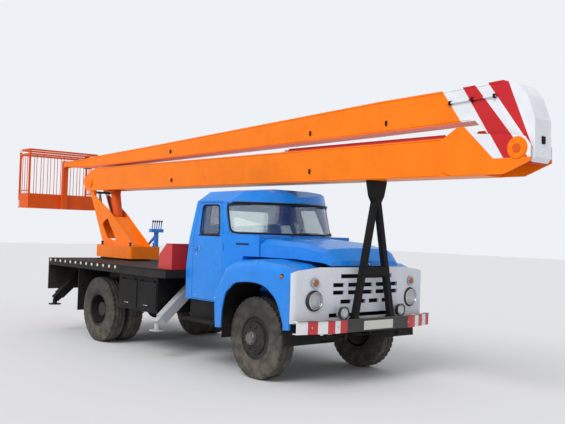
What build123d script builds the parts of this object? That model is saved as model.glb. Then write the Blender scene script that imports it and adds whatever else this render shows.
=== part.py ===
from build123d import *
import math
import os

# Aerial work platform on a long-nosed two-axle lorry.
# Millimetres, X forward, Y to the lorry's left, Z up, ground at Z = 0.
# The origin is on the ground under the middle of the overall length.

os.makedirs("parts", exist_ok=True)

# Driving dimensions
FRONT_AXLE_X = 2445.0
WHEELBASE = 3800.0
REAR_AXLE_X = FRONT_AXLE_X - WHEELBASE
TYRE_RADIUS = 508.0
TYRE_WIDTH = 260.0
FRONT_TRACK_HALF = 900.0
TWIN_INNER_Y = 740.0
TWIN_OUTER_Y = 1050.0
AXLE_HEIGHT = TYRE_RADIUS
FRAME_HALF_WIDTH = 432.0
FRAME_BOTTOM = 670.0
FRAME_TOP = 870.0
FRAME_REAR_X = FRONT_AXLE_X - 5560.0
FRAME_FRONT_X = FRONT_AXLE_X + 880.0
SIDES = [("left", 1), ("right", -1)]
GAP = 6.0


def ahead(distance):
    """X of a place that many millimetres ahead of the front axle."""
    return FRONT_AXLE_X + distance


def block(low, high, mode=Mode.ADD):
    """A square block between two opposite corners."""
    with Locations(tuple((a + b) / 2 for a, b in zip(low, high))):
        Box(*(b - a for a, b in zip(low, high)), mode=mode)


def side_plate(points, y_low, y_high, mode=Mode.ADD, round_by=0.0):
    """A plate with its outline in X and Z, from y_low to y_high."""
    with BuildSketch(Plane.XZ.offset(-y_high)) as face:
        with BuildLine():
            Polyline(*points, close=True)
        make_face()
        if round_by:
            fillet(face.vertices(), round_by)
    extrude(face.sketch, amount=y_high - y_low, mode=mode)


def cross_plate(points, x_low, x_high, mode=Mode.ADD, round_by=0.0):
    """A plate with its outline in Y and Z, from x_low to x_high."""
    with BuildSketch(Plane.YZ.offset(x_low)) as face:
        with BuildLine():
            Polyline(*points, close=True)
        make_face()
        if round_by:
            fillet(face.vertices(), round_by)
    extrude(face.sketch, amount=x_high - x_low, mode=mode)


def flat_plate(points, z_low, z_high, mode=Mode.ADD, round_by=0.0):
    """A plate with its outline in X and Y, from z_low to z_high."""
    with BuildSketch(Plane.XY.offset(z_low)) as face:
        with BuildLine():
            Polyline(*points, close=True)
        make_face()
        if round_by:
            fillet(face.vertices(), round_by)
    extrude(face.sketch, amount=z_high - z_low, mode=mode)


def bar(start, end, radius, mode=Mode.ADD):
    """A round bar between two points."""
    run = Vector(*end) - Vector(*start)
    with BuildSketch(Plane(origin=start, z_dir=run)) as ring:
        Circle(radius)
    extrude(ring.sketch, amount=run.length, mode=mode)


def square_bar(start, end, width, mode=Mode.ADD):
    """A square tube, drawn solid, between two points."""
    run = Vector(*end) - Vector(*start)
    across = Vector(0, 1, 0) if abs(run.Y) < 0.9 * run.length else Vector(1, 0, 0)
    with BuildSketch(Plane(origin=start, x_dir=across.cross(run), z_dir=run)) as ring:
        Rectangle(width, width)
    extrude(ring.sketch, amount=run.length, mode=mode)


def pivot_boss(x, z, radius, y_low, y_high, mode=Mode.ADD):
    """A round boss or bore across the lorry."""
    bar((x, y_low, z), (x, y_high, z), radius, mode)


def save(builder, label):
    """Names the finished piece and writes its file."""
    builder.part.label = label
    export_step(builder.part, f"parts/{label}.step")


# Ladder frame: two channel rails and their cross members
RAIL_FLANGE = 75.0
RAIL_WALL = 8.0
CROSS_MEMBERS = [780.0, -1080.0, -2450.0, -3350.0, -4250.0, -5500.0]
CROSS_MEMBER_LENGTH = 60.0
CROSS_MEMBER_HEIGHT = 110.0

with BuildPart() as frame_rails:
    for name, side in SIDES:
        outer = side * FRAME_HALF_WIDTH
        web = side * (FRAME_HALF_WIDTH - RAIL_WALL)
        lip = side * (FRAME_HALF_WIDTH - RAIL_FLANGE)
        cross_plate(
            [
                (outer, FRAME_BOTTOM),
                (outer, FRAME_TOP),
                (lip, FRAME_TOP),
                (lip, FRAME_TOP - RAIL_WALL),
                (web, FRAME_TOP - RAIL_WALL),
                (web, FRAME_BOTTOM + RAIL_WALL),
                (lip, FRAME_BOTTOM + RAIL_WALL),
                (lip, FRAME_BOTTOM),
            ],
            FRAME_REAR_X,
            FRAME_FRONT_X,
        )
    frame_middle = (FRAME_BOTTOM + FRAME_TOP) / 2
    for place in CROSS_MEMBERS:
        x_low = ahead(place - CROSS_MEMBER_LENGTH / 2)
        x_high = ahead(place + CROSS_MEMBER_LENGTH / 2)
        half = FRAME_HALF_WIDTH - RAIL_WALL / 2
        block(
            (x_low, -half, frame_middle - CROSS_MEMBER_HEIGHT / 2),
            (x_high, half, frame_middle + CROSS_MEMBER_HEIGHT / 2),
        )
save(frame_rails, "frame_rails")

# Front axle: a dropped I-beam with an eye for each kingpin
KINGPIN_Y = 715.0
KINGPIN_RADIUS = 20.0
EYE_RADIUS = 42.0
EYE_HALF_HEIGHT = 65.0
BEAM_WIDTH = 76.0
BEAM_DEPTH = 90.0
BEAM_DROP = 95.0
BEAM_POCKET = 26.0

with BuildPart() as front_axle:
    top = AXLE_HEIGHT + BEAM_DEPTH / 2
    low = AXLE_HEIGHT - BEAM_DEPTH / 2
    beam_outline = [
        (-KINGPIN_Y, top),
        (-KINGPIN_Y + 130, top),
        (-KINGPIN_Y + 270, top - BEAM_DROP),
        (KINGPIN_Y - 270, top - BEAM_DROP),
        (KINGPIN_Y - 130, top),
        (KINGPIN_Y, top),
        (KINGPIN_Y, low),
        (KINGPIN_Y - 100, low),
        (KINGPIN_Y - 240, low - BEAM_DROP),
        (-KINGPIN_Y + 240, low - BEAM_DROP),
        (-KINGPIN_Y + 100, low),
        (-KINGPIN_Y, low),
    ]
    cross_plate(beam_outline, FRONT_AXLE_X - BEAM_WIDTH / 2, FRONT_AXLE_X + BEAM_WIDTH / 2)
    half = BEAM_WIDTH / 2
    for face_x, inner_x in ((-half, -half + BEAM_POCKET), (half - BEAM_POCKET, half)):
        block(
            (FRONT_AXLE_X + face_x, -KINGPIN_Y + 290, low - BEAM_DROP + 18),
            (FRONT_AXLE_X + inner_x, KINGPIN_Y - 290, top - BEAM_DROP - 18),
            mode=Mode.SUBTRACT,
        )
    for name, side in SIDES:
        foot = (FRONT_AXLE_X, side * KINGPIN_Y, AXLE_HEIGHT - EYE_HALF_HEIGHT)
        head = (FRONT_AXLE_X, side * KINGPIN_Y, AXLE_HEIGHT + EYE_HALF_HEIGHT)
        bar(foot, head, EYE_RADIUS)
        bar(foot, head, KINGPIN_RADIUS + 0.5, mode=Mode.SUBTRACT)
save(front_axle, "front_axle")

# Rear axle: banjo housing with its final drive
TUBE_RADIUS = 62.0
BANJO_RADIUS = 205.0
BANJO_HALF = 120.0
REAR_TUBE_END = 600.0

with BuildPart() as rear_axle:
    bar((REAR_AXLE_X, -REAR_TUBE_END, AXLE_HEIGHT), (REAR_AXLE_X, REAR_TUBE_END, AXLE_HEIGHT), TUBE_RADIUS)
    bar((REAR_AXLE_X - BANJO_HALF, 0, AXLE_HEIGHT), (REAR_AXLE_X + BANJO_HALF, 0, AXLE_HEIGHT), BANJO_RADIUS)
    bar((REAR_AXLE_X + BANJO_HALF, 0, AXLE_HEIGHT), (REAR_AXLE_X + 330, 0, AXLE_HEIGHT + 20), 70)
save(rear_axle, "rear_axle")

# Leaf springs: stacks that shorten downwards, on their hangers
SPRING_Y = 385.0
LEAF_WIDTH = 64.0
LEAF_THICKNESS = 11.0
SPRINGS = [
    # axle X, length, leaves, height of the stack's top at its middle
    (FRONT_AXLE_X, 1300.0, 8, AXLE_HEIGHT + 45.0),
    (REAR_AXLE_X, 1350.0, 8, AXLE_HEIGHT + 151.0),
]

with BuildPart() as leaf_springs:
    for name, side in SIDES:
        for axle_x, length, leaves, stack_top in SPRINGS:
            for leaf in range(leaves):
                half = length / 2 * (1 - 0.09 * leaf)
                z_high = stack_top - leaf * LEAF_THICKNESS
                block(
                    (axle_x - half, side * SPRING_Y - LEAF_WIDTH / 2, z_high - LEAF_THICKNESS),
                    (axle_x + half, side * SPRING_Y + LEAF_WIDTH / 2, z_high),
                )
            for end in (-1, 1):
                hanger_x = axle_x + end * (length / 2 - 30)
                block(
                    (hanger_x - 30, side * SPRING_Y - 20, stack_top - 6),
                    (hanger_x + 30, side * SPRING_Y + 20, FRAME_BOTTOM),
                )
save(leaf_springs, "leaf_springs")

# Engine as one plain block, with the radiator ahead of it
with BuildPart() as engine_block:
    block((ahead(-330), -250, 700), (ahead(420), 250, 1330))
    block((ahead(-330), -320, 1100), (ahead(420), 320, 1250))
    block((ahead(660), -340, 760), (ahead(730), 340, 1390))
    block((ahead(420), -60, 980), (ahead(660), 60, 1100))
save(engine_block, "engine_block")

# Gearbox and propeller shaft
with BuildPart() as driveline:
    block((ahead(-1000), -160, 560), (ahead(-331), 160, 860))
    bar((ahead(-1000), 0, 625), (ahead(-1150), 0, 620), 65)
    bar((ahead(-1150), 0, 620), (REAR_AXLE_X + 336, 0, AXLE_HEIGHT + 22), 42)
save(driveline, "driveline")

# Wheels: tyres and disc rims as many-sided rings, alike on every hub
TYRE_SIDES = 36
RIM_SIDES = 28
BEAD_RADIUS = 258.0
WALL_RADIUS = 380.0
BEAD_DEPTH = 26.0
DISH_FLARE = 90.0
DISH_SLOPE = 196.0
TYRE_RINGS = [
    # radius, width, chamfer down the wall, chamfer along the tread
    (TYRE_RADIUS, 218.0, 23.0, 18.0),
    (484.0, TYRE_WIDTH, 104.0, 20.5),
]
# flat side down, so that the tyre's lowest line is on the ground
FLAT_TURN = 180.0 / TYRE_SIDES
RIM_WIDTH = 200.0
DISC_THICKNESS = 12.0
HUB_RADIUS = 110.0
HAND_HOLES = 6
HAND_HOLE_RADIUS = 30.0
HAND_HOLE_PCD = 360.0
DRUM_RADIUS = 200.0


def wheel_plane(x, y):
    """A plane across an axle at y, its X forward and its normal to the left."""
    return Plane(origin=(x, y, AXLE_HEIGHT), x_dir=(1, 0, 0), z_dir=(0, 1, 0))


def ring_solid(radius, y_low, y_high):
    """A many-sided disc between two places across the axle, flat side down."""
    with BuildPart() as disc:
        with BuildSketch(wheel_plane(0, y_low)) as face:
            RegularPolygon(radius / math.cos(math.radians(FLAT_TURN)), TYRE_SIDES, rotation=FLAT_TURN + 90)
        extrude(face.sketch, amount=y_high - y_low)
    return disc.part


def tyre_band(radius, width, down, along):
    """A ring of the tyre, cut back along both edges."""
    with BuildPart() as band:
        add(ring_solid(radius, -width / 2, width / 2))
        for end in (0, -1):
            wall = band.faces().filter_by(Axis.Y).sort_by(Axis.Y)[end]
            chamfer(wall.edges(), length=down, length2=along, reference=wall)
    return band.part


def tyre_dish(end):
    """The hollow in one wall of the tyre, wide at its mouth."""
    floor = end * (TYRE_WIDTH / 2 - BEAD_DEPTH)
    mouth = end * (TYRE_WIDTH / 2 + BEAD_DEPTH)
    with BuildPart() as dish:
        add(ring_solid(WALL_RADIUS + DISH_FLARE, min(floor, mouth), max(floor, mouth)))
        base = dish.faces().filter_by(Axis.Y).sort_by(Axis.Y)[0 if end > 0 else -1]
        chamfer(base.edges(), length=DISH_SLOPE, length2=2 * BEAD_DEPTH - 1, reference=base)
    return dish.part


with BuildPart() as tyre_form:
    for radius, width, down, along in TYRE_RINGS:
        add(tyre_band(radius, width, down, along))
    for end in (-1, 1):
        add(tyre_dish(end), mode=Mode.SUBTRACT)
    with BuildSketch(wheel_plane(0, -TYRE_WIDTH / 2)) as bore:
        RegularPolygon(BEAD_RADIUS, RIM_SIDES)
    extrude(bore.sketch, amount=TYRE_WIDTH, mode=Mode.SUBTRACT)


def tyre(x, y):
    """A tyre with its middle at y."""
    with Locations((x, y, 0)):
        add(tyre_form.part)


def rim(x, y, outward, disc_at):
    """A well rim with a disc; disc_at is the disc's middle, measured outwards from the tyre's middle."""
    with BuildSketch(wheel_plane(x, y - RIM_WIDTH / 2)) as well:
        RegularPolygon(BEAD_RADIUS - 2, RIM_SIDES)
        RegularPolygon(BEAD_RADIUS - 26, RIM_SIDES, mode=Mode.SUBTRACT)
    extrude(well.sketch, amount=RIM_WIDTH)
    disc_middle = y + outward * disc_at
    with BuildSketch(wheel_plane(x, disc_middle - DISC_THICKNESS / 2)) as disc:
        RegularPolygon(BEAD_RADIUS - 14, RIM_SIDES)
        with PolarLocations(HAND_HOLE_PCD / 2, HAND_HOLES):
            RegularPolygon(HAND_HOLE_RADIUS, 8, mode=Mode.SUBTRACT)
    extrude(disc.sketch, amount=DISC_THICKNESS)


def hub(x, y_inner, y_outer, radius, sides=20):
    """A hub or drum between two places across the axle."""
    with BuildSketch(wheel_plane(x, min(y_inner, y_outer))) as face:
        RegularPolygon(radius, sides)
    extrude(face.sketch, amount=abs(y_outer - y_inner))


SPINDLE_RADIUS = 34.0
HUB_INNER_Y = 795.0
FRONT_HUB_OUTER_Y = 1085.0
BACKPLATE_Y = 770.0

for name, side in SIDES:
    with BuildPart() as front_tyre:
        tyre(FRONT_AXLE_X, side * FRONT_TRACK_HALF)
    save(front_tyre, f"tyre_front_{name}")

    with BuildPart() as front_rim:
        rim(FRONT_AXLE_X, side * FRONT_TRACK_HALF, side, 95.0)
        hub(FRONT_AXLE_X, side * HUB_INNER_Y, side * (FRONT_TRACK_HALF + 95), DRUM_RADIUS, 24)
        hub(FRONT_AXLE_X, side * FRONT_TRACK_HALF, side * 1030.0, HUB_RADIUS)
        hub(FRONT_AXLE_X, side * 1000.0, side * FRONT_HUB_OUTER_Y, 72.0)
        bar(
            (FRONT_AXLE_X, side * (HUB_INNER_Y - 5), AXLE_HEIGHT),
            (FRONT_AXLE_X, side * 990.0, AXLE_HEIGHT),
            SPINDLE_RADIUS + 6,
            mode=Mode.SUBTRACT,
        )
    save(front_rim, f"rim_front_{name}")

    with BuildPart() as rear_tyres:
        for y in (TWIN_INNER_Y, TWIN_OUTER_Y):
            tyre(REAR_AXLE_X, side * y)
    save(rear_tyres, f"tyres_rear_{name}")

    with BuildPart() as rear_rims:
        rim(REAR_AXLE_X, side * TWIN_INNER_Y, side, 148.0 - DISC_THICKNESS)
        rim(REAR_AXLE_X, side * TWIN_OUTER_Y, side, -148.0 + DISC_THICKNESS)
        hub(REAR_AXLE_X, side * 640.0, side * (TWIN_INNER_Y + 148), DRUM_RADIUS, 24)
        hub(REAR_AXLE_X, side * TWIN_INNER_Y, side * 1090.0, HUB_RADIUS)
        bar(
            (REAR_AXLE_X, side * 615.0, AXLE_HEIGHT),
            (REAR_AXLE_X, side * 700.0, AXLE_HEIGHT),
            TUBE_RADIUS + 8,
            mode=Mode.SUBTRACT,
        )
    save(rear_rims, f"rims_rear_{name}")

# Steering knuckles: yoke, spindle, brake backplate and track arm
YOKE_EAR_LOW = EYE_HALF_HEIGHT + 6
YOKE_EAR_HIGH = EYE_HALF_HEIGHT + 34

for name, side in SIDES:
    with BuildPart() as knuckle:
        for low_z, high_z in ((-YOKE_EAR_HIGH, -YOKE_EAR_LOW), (YOKE_EAR_LOW, YOKE_EAR_HIGH)):
            y_span = sorted((side * (KINGPIN_Y - 40), side * BACKPLATE_Y))
            block(
                (FRONT_AXLE_X - 38, y_span[0], AXLE_HEIGHT + low_z),
                (FRONT_AXLE_X + 38, y_span[1], AXLE_HEIGHT + high_z),
            )
        bar(
            (FRONT_AXLE_X, side * KINGPIN_Y, AXLE_HEIGHT - YOKE_EAR_HIGH),
            (FRONT_AXLE_X, side * KINGPIN_Y, AXLE_HEIGHT + YOKE_EAR_HIGH),
            KINGPIN_RADIUS,
        )
        y_span = sorted((side * (BACKPLATE_Y - 6), side * (BACKPLATE_Y + 8)))
        bar((FRONT_AXLE_X, y_span[0], AXLE_HEIGHT), (FRONT_AXLE_X, y_span[1], AXLE_HEIGHT), 180)
        bar(
            (FRONT_AXLE_X, side * BACKPLATE_Y, AXLE_HEIGHT),
            (FRONT_AXLE_X, side * 980.0, AXLE_HEIGHT),
            SPINDLE_RADIUS,
        )
        square_bar(
            (FRONT_AXLE_X - 30, side * (KINGPIN_Y - 10), AXLE_HEIGHT - YOKE_EAR_HIGH + 14),
            (FRONT_AXLE_X - 210, side * (KINGPIN_Y - 60), AXLE_HEIGHT - YOKE_EAR_HIGH + 14),
            30,
        )
    save(knuckle, f"knuckle_{name}")

# Front bumper: a band whose ends sweep back, on two brackets
BUMPER_BOTTOM = 665.0
BUMPER_TOP = 815.0
BUMPER_HALF = 1170.0
BUMPER_WALL = 10.0
BUMPER_FRONT = 1065.0
BUMPER_END = 950.0
BUMPER_BEND_Y = 700.0

with BuildPart() as front_bumper:
    for z_low, z_high, deep in (
        (BUMPER_BOTTOM, BUMPER_TOP, BUMPER_WALL),
        (BUMPER_BOTTOM, BUMPER_BOTTOM + BUMPER_WALL, 70.0),
        (BUMPER_TOP - BUMPER_WALL, BUMPER_TOP, 70.0),
    ):
        flat_plate(
            [
                (ahead(BUMPER_END), -BUMPER_HALF),
                (ahead(BUMPER_FRONT), -BUMPER_BEND_Y),
                (ahead(BUMPER_FRONT), BUMPER_BEND_Y),
                (ahead(BUMPER_END), BUMPER_HALF),
                (ahead(BUMPER_END - deep), BUMPER_HALF),
                (ahead(BUMPER_FRONT - deep), BUMPER_BEND_Y),
                (ahead(BUMPER_FRONT - deep), -BUMPER_BEND_Y),
                (ahead(BUMPER_END - deep), -BUMPER_HALF),
            ],
            z_low,
            z_high,
        )
    for name, side in SIDES:
        y_span = sorted((side * (FRAME_HALF_WIDTH - 60), side * FRAME_HALF_WIDTH))
        block((FRAME_FRONT_X, y_span[0], 690), (ahead(BUMPER_FRONT - 5), y_span[1], 765))
save(front_bumper, "front_bumper")

# Front panel: a bowed pressing with a slotted grille and lamp holes
PANEL_FRONT = 930.0
PANEL_SIDE = 835.0
PANEL_HALF = 1180.0
PANEL_BACK = 806.0
PANEL_CORNER = 110.0
PANEL_WALL = 28.0
PANEL_BOTTOM = 775.0
PANEL_TOP = 1425.0
HEAD_LAMP_Y = 850.0
HEAD_LAMP_Z = 1035.0
HEAD_LAMP_RADIUS = 108.0
TURN_LAMP_Z = 1245.0
TURN_LAMP_RADIUS = 62.0
GRILLE_SLOT_HEIGHT = 50.0
GRILLE_SLOTS = [
    # height of the slot's middle, slot width, middles across
    (1320.0, 900.0, [0]),
    (1215.0, 180.0, [-480, -240, 0, 240, 480]),
    (1125.0, 180.0, [-480, -240, 0, 240, 480]),
    (1015.0, 180.0, [-360, -120, 120, 360]),
    (855.0, 1250.0, [0]),
]


def panel_plan(inset):
    """The panel's plan: a bowed front with rounded corners, smaller by an inset."""
    half = PANEL_HALF - inset
    with BuildSketch(Plane.XY.offset(PANEL_BOTTOM)) as plan:
        with BuildLine():
            ThreePointArc(
                (ahead(PANEL_SIDE - inset), -half),
                (ahead(PANEL_FRONT - inset), 0),
                (ahead(PANEL_SIDE - inset), half),
            )
            Polyline(
                (ahead(PANEL_SIDE - inset), half),
                (ahead(PANEL_SIDE - 200), half),
                (ahead(PANEL_SIDE - 200), -half),
                (ahead(PANEL_SIDE - inset), -half),
            )
        make_face()
        fillet(plan.vertices().filter_by(lambda v: v.X > ahead(PANEL_SIDE - 100)), PANEL_CORNER - inset)
    return plan.sketch


with BuildPart() as front_panel:
    extrude(panel_plan(0.0), amount=PANEL_TOP - PANEL_BOTTOM)
    extrude(panel_plan(PANEL_WALL), amount=PANEL_TOP - PANEL_BOTTOM, mode=Mode.SUBTRACT)
    block((ahead(0), -1300, 700), (ahead(PANEL_BACK), 1300, 1600), mode=Mode.SUBTRACT)
    with BuildSketch(Plane.YZ.offset(ahead(PANEL_SIDE - 200))) as front_view:
        with BuildLine():
            Polyline(
                (-PANEL_HALF, PANEL_BOTTOM),
                (PANEL_HALF, PANEL_BOTTOM),
                (PANEL_HALF, 1345),
                (PANEL_HALF - 110, 1385),
                (760, PANEL_TOP),
                (-760, PANEL_TOP),
                (-PANEL_HALF + 110, 1385),
                (-PANEL_HALF, 1345),
                close=True,
            )
        make_face()
        fillet(front_view.vertices().filter_by(lambda v: v.Z > 1360), 90)
    extrude(front_view.sketch, amount=400, mode=Mode.INTERSECT)
    with BuildSketch(Plane.YZ.offset(ahead(PANEL_SIDE - 100))) as openings:
        for middle, width, places in GRILLE_SLOTS:
            for place in places:
                with Locations((place, middle)):
                    Rectangle(width, GRILLE_SLOT_HEIGHT)
        for name, side in SIDES:
            with Locations((side * HEAD_LAMP_Y, HEAD_LAMP_Z)):
                Circle(HEAD_LAMP_RADIUS)
            with Locations((side * HEAD_LAMP_Y, TURN_LAMP_Z)):
                Circle(TURN_LAMP_RADIUS)
    extrude(openings.sketch, amount=300, mode=Mode.SUBTRACT)
save(front_panel, "front_panel")

# Lamps: head and turn lamps seated in the panel, fog lamps on the bumper, tail lamps on the apron
FOG_LAMP_Y = 505.0
FOG_LAMP_Z = 895.0
FOG_LAMP_RADIUS = 70.0
APRON_X = FRONT_AXLE_X - 5600.0
TAIL_LAMP_Y = 980.0
LAMPS = [
    # across, height, radius, back face, front face
    (HEAD_LAMP_Y, HEAD_LAMP_Z, HEAD_LAMP_RADIUS - 1, ahead(770), ahead(905)),
    (HEAD_LAMP_Y, TURN_LAMP_Z, TURN_LAMP_RADIUS - 1, ahead(810), ahead(905)),
    (FOG_LAMP_Y, FOG_LAMP_Z, FOG_LAMP_RADIUS, ahead(975), ahead(1045)),
    (TAIL_LAMP_Y, 900.0, 55.0, APRON_X - 45, APRON_X),
]

with BuildPart() as lamps:
    for name, side in SIDES:
        for y, z, radius, x_back, x_front in LAMPS:
            bar((x_back, side * y, z), (x_front, side * y, z), radius)
        block(
            (ahead(990), side * FOG_LAMP_Y - 15, BUMPER_TOP),
            (ahead(1030), side * FOG_LAMP_Y + 15, FOG_LAMP_Z - 30),
        )
save(lamps, "lamps")

# Cab: one closed form, hollowed, then parted into body, roof, doors and bonnet
CAB_HALF = 1000.0
CAB_ROOF_HALF = 880.0
CAB_BOTTOM = 870.0
CAB_BELT = 1700.0
CAB_RAIL = 2215.0
CAB_TOP = 2400.0
CAB_WALL = 40.0
CAB_BACK = -1525.0
CAB_SHOULDER_ROUND = 60.0
COWL_TOP = 1772.0
SCREEN_RAKE = 0.295
CAB_PROFILE = [
    # ahead of the front axle, height; round the cab's side from the back foot
    (CAB_BACK - 65, CAB_BOTTOM),
    (CAB_BACK - 65, 1300),
    (CAB_BACK + 5, CAB_BELT),
    (CAB_BACK, CAB_RAIL),
    (CAB_BACK + 125, CAB_TOP),
    (-560, CAB_TOP),
    (-330, 2290),
    (-345, CAB_RAIL),
    (-215, 1775),
    (-205, 1500),
    (-430, 1500),
    (-560, 1100),
    (-560, CAB_BOTTOM),
]
CAB_SECTION = [
    # across, height; round the cab's front view
    (-CAB_HALF + 15, CAB_BOTTOM),
    (-CAB_HALF, CAB_BELT),
    (-CAB_ROOF_HALF, CAB_RAIL),
    (-CAB_ROOF_HALF + 150, CAB_TOP - 45),
    (-300, CAB_TOP),
    (300, CAB_TOP),
    (CAB_ROOF_HALF - 150, CAB_TOP - 45),
    (CAB_ROOF_HALF, CAB_RAIL),
    (CAB_HALF, CAB_BELT),
    (CAB_HALF - 15, CAB_BOTTOM),
]
# plan of the wrapped windscreen, and of the cowl that runs straight from the doors to the bonnet
SCREEN_MIDDLE = -205.0
SCREEN_END = -880.0
COWL_REAR = -745.0
COWL_FRONT_HALF = 806.0


def cab_plan(wall):
    """The solid between the cab's plans: the straight cowl, then the raked round screen."""
    ledge = COWL_TOP - wall
    with BuildPart() as solid:
        flat_plate(
            [
                (ahead(SCREEN_MIDDLE + 20 - wall), COWL_FRONT_HALF),
                (ahead(COWL_REAR - wall), CAB_HALF + 5),
                (ahead(-2000), CAB_HALF + 100),
                (ahead(-2000), -CAB_HALF - 100),
                (ahead(COWL_REAR - wall), -CAB_HALF - 5),
                (ahead(SCREEN_MIDDLE + 20 - wall), -COWL_FRONT_HALF),
            ],
            500,
            ledge,
        )
        with BuildSketch(Plane.XY.offset(ledge)) as screen:
            with BuildLine():
                ThreePointArc(
                    (ahead(SCREEN_END - wall), -CAB_HALF),
                    (ahead(SCREEN_MIDDLE - wall), 0),
                    (ahead(SCREEN_END - wall), CAB_HALF),
                )
                Polyline(
                    (ahead(SCREEN_END - wall), CAB_HALF),
                    (ahead(-1900), CAB_HALF + 100),
                    (ahead(-1900), -CAB_HALF - 100),
                    (ahead(SCREEN_END - wall), -CAB_HALF),
                )
            make_face()
        extrude(screen.sketch, amount=900, dir=(-SCREEN_RAKE, 0, 1))
    return solid.part


def cab_form(wall):
    """The cab's solid outer form, or the same form smaller by a wall all round."""
    with BuildPart() as form:
        with BuildSketch(Plane.XZ.offset(-1200)) as profile:
            with BuildLine():
                Polyline(*[(ahead(x), z) for x, z in CAB_PROFILE], close=True)
            make_face()
            fillet(profile.vertices().filter_by(lambda v: v.Z > CAB_TOP - 1), CAB_SHOULDER_ROUND)
            if wall:
                offset(amount=-wall, kind=Kind.INTERSECTION)
        extrude(profile.sketch, amount=2400)
        with BuildSketch(Plane.YZ.offset(ahead(-2000))) as section:
            with BuildLine():
                Polyline(*CAB_SECTION, close=True)
            make_face()
            fillet(section.vertices().filter_by(lambda v: v.Z > CAB_RAIL + 1), CAB_SHOULDER_ROUND)
            if wall:
                offset(amount=-wall, kind=Kind.INTERSECTION)
        extrude(section.sketch, amount=2500, mode=Mode.INTERSECT)
        add(cab_plan(wall), mode=Mode.INTERSECT)
    return form.part


cab_outer = cab_form(0.0)
cab_inner = cab_form(CAB_WALL)
cab_clear = cab_form(-2.0)

DOOR_OUTLINE = [
    # ahead of the front axle, height
    (-1440, CAB_BOTTOM + 15),
    (-1425, CAB_BELT),
    (-1440, 2195),
    (-935, 2195),
    (-760, CAB_BELT),
    (-745, CAB_BOTTOM + 15),
]
DOOR_ABOVE_FLOOR = [(x, max(z, CAB_BOTTOM + CAB_WALL + GAP + 1)) for x, z in DOOR_OUTLINE]
SILL_Y = CAB_HALF - 15 - CAB_WALL
DOOR_WINDOW = [
    (-1290, 1765),
    (-1360, 2165),
    (-985, 2165),
    (-835, 1765),
]
REAR_WINDOW_HALF = 420.0
REAR_WINDOW_LOW = 1800.0
REAR_WINDOW_HIGH = 2120.0
SCREEN_LOW = 1790.0
SCREEN_HIGH = 2195.0
SCREEN_SIDE_X = -715.0
SCREEN_SIDE_TOP_X = -832.0


def grown(points, amount):
    """An outline in X and Z moved outwards, for the gap round a door."""
    with BuildSketch(Plane.XZ) as face:
        with BuildLine():
            Polyline(*[(ahead(x), z) for x, z in points], close=True)
        make_face()
        if amount:
            offset(amount=amount, kind=Kind.INTERSECTION)
    return face.sketch


def prism_across(sketch, y_low, y_high):
    """A solid from a sketch in X and Z, between two places across the lorry."""
    return extrude(Pos(0, y_high, 0) * sketch, amount=y_high - y_low)


with BuildPart() as cab_body:
    add(cab_outer)
    add(cab_inner, mode=Mode.SUBTRACT)
    block((ahead(-2000), -1300, CAB_RAIL), (ahead(200), 1300, 2600), mode=Mode.SUBTRACT)
    for low_y, high_y in ((-1300, -SILL_Y), (SILL_Y, 1300)):
        add(prism_across(grown(DOOR_OUTLINE, GAP), low_y, high_y), mode=Mode.SUBTRACT)
    for low_y, high_y in ((-1300, -700), (700, 1300)):
        add(prism_across(grown(DOOR_ABOVE_FLOOR, GAP), low_y, high_y), mode=Mode.SUBTRACT)
    block(
        (ahead(-2000), -REAR_WINDOW_HALF, REAR_WINDOW_LOW),
        (ahead(-1450), REAR_WINDOW_HALF, REAR_WINDOW_HIGH),
        mode=Mode.SUBTRACT,
    )
    side_plate(
        [
            (ahead(SCREEN_SIDE_X), SCREEN_LOW),
            (ahead(SCREEN_SIDE_TOP_X), SCREEN_HIGH),
            (ahead(100), SCREEN_HIGH),
            (ahead(100), SCREEN_LOW),
        ],
        -1200,
        1200,
        mode=Mode.SUBTRACT,
    )
save(cab_body, "cab_body")

with BuildPart() as cab_roof:
    add(cab_outer)
    add(cab_inner, mode=Mode.SUBTRACT)
    block((ahead(-2000), -1300, 0), (ahead(200), 1300, CAB_RAIL), mode=Mode.SUBTRACT)
save(cab_roof, "cab_roof")

# Doors with their window cut, hinged at the front edge
for name, side in SIDES:
    y_span = sorted((side * 700, side * 1300))
    with BuildPart() as door:
        add(prism_across(grown(DOOR_OUTLINE, 0), *y_span))
        add(cab_outer, mode=Mode.INTERSECT)
        add(cab_inner, mode=Mode.SUBTRACT)
        floor_span = sorted((side * 600, side * (SILL_Y + 1)))
        block((ahead(-1700), floor_span[0], 800), (ahead(-600), floor_span[1], 912), mode=Mode.SUBTRACT)
        add(prism_across(grown(DOOR_WINDOW, 0), *y_span), mode=Mode.SUBTRACT)
        handle_y = sorted((side * (CAB_HALF - 10), side * (CAB_HALF + 35)))
        block((ahead(-1400), handle_y[0], 1560), (ahead(-1280), handle_y[1], 1585))
    save(door, f"door_{name}")

    with BuildPart() as door_glass:
        add(prism_across(grown(DOOR_WINDOW, -0.5), *y_span))
        add(cab_form(15.0), mode=Mode.INTERSECT)
        add(cab_form(21.0), mode=Mode.SUBTRACT)
    save(door_glass, f"door_glass_{name}")

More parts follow.
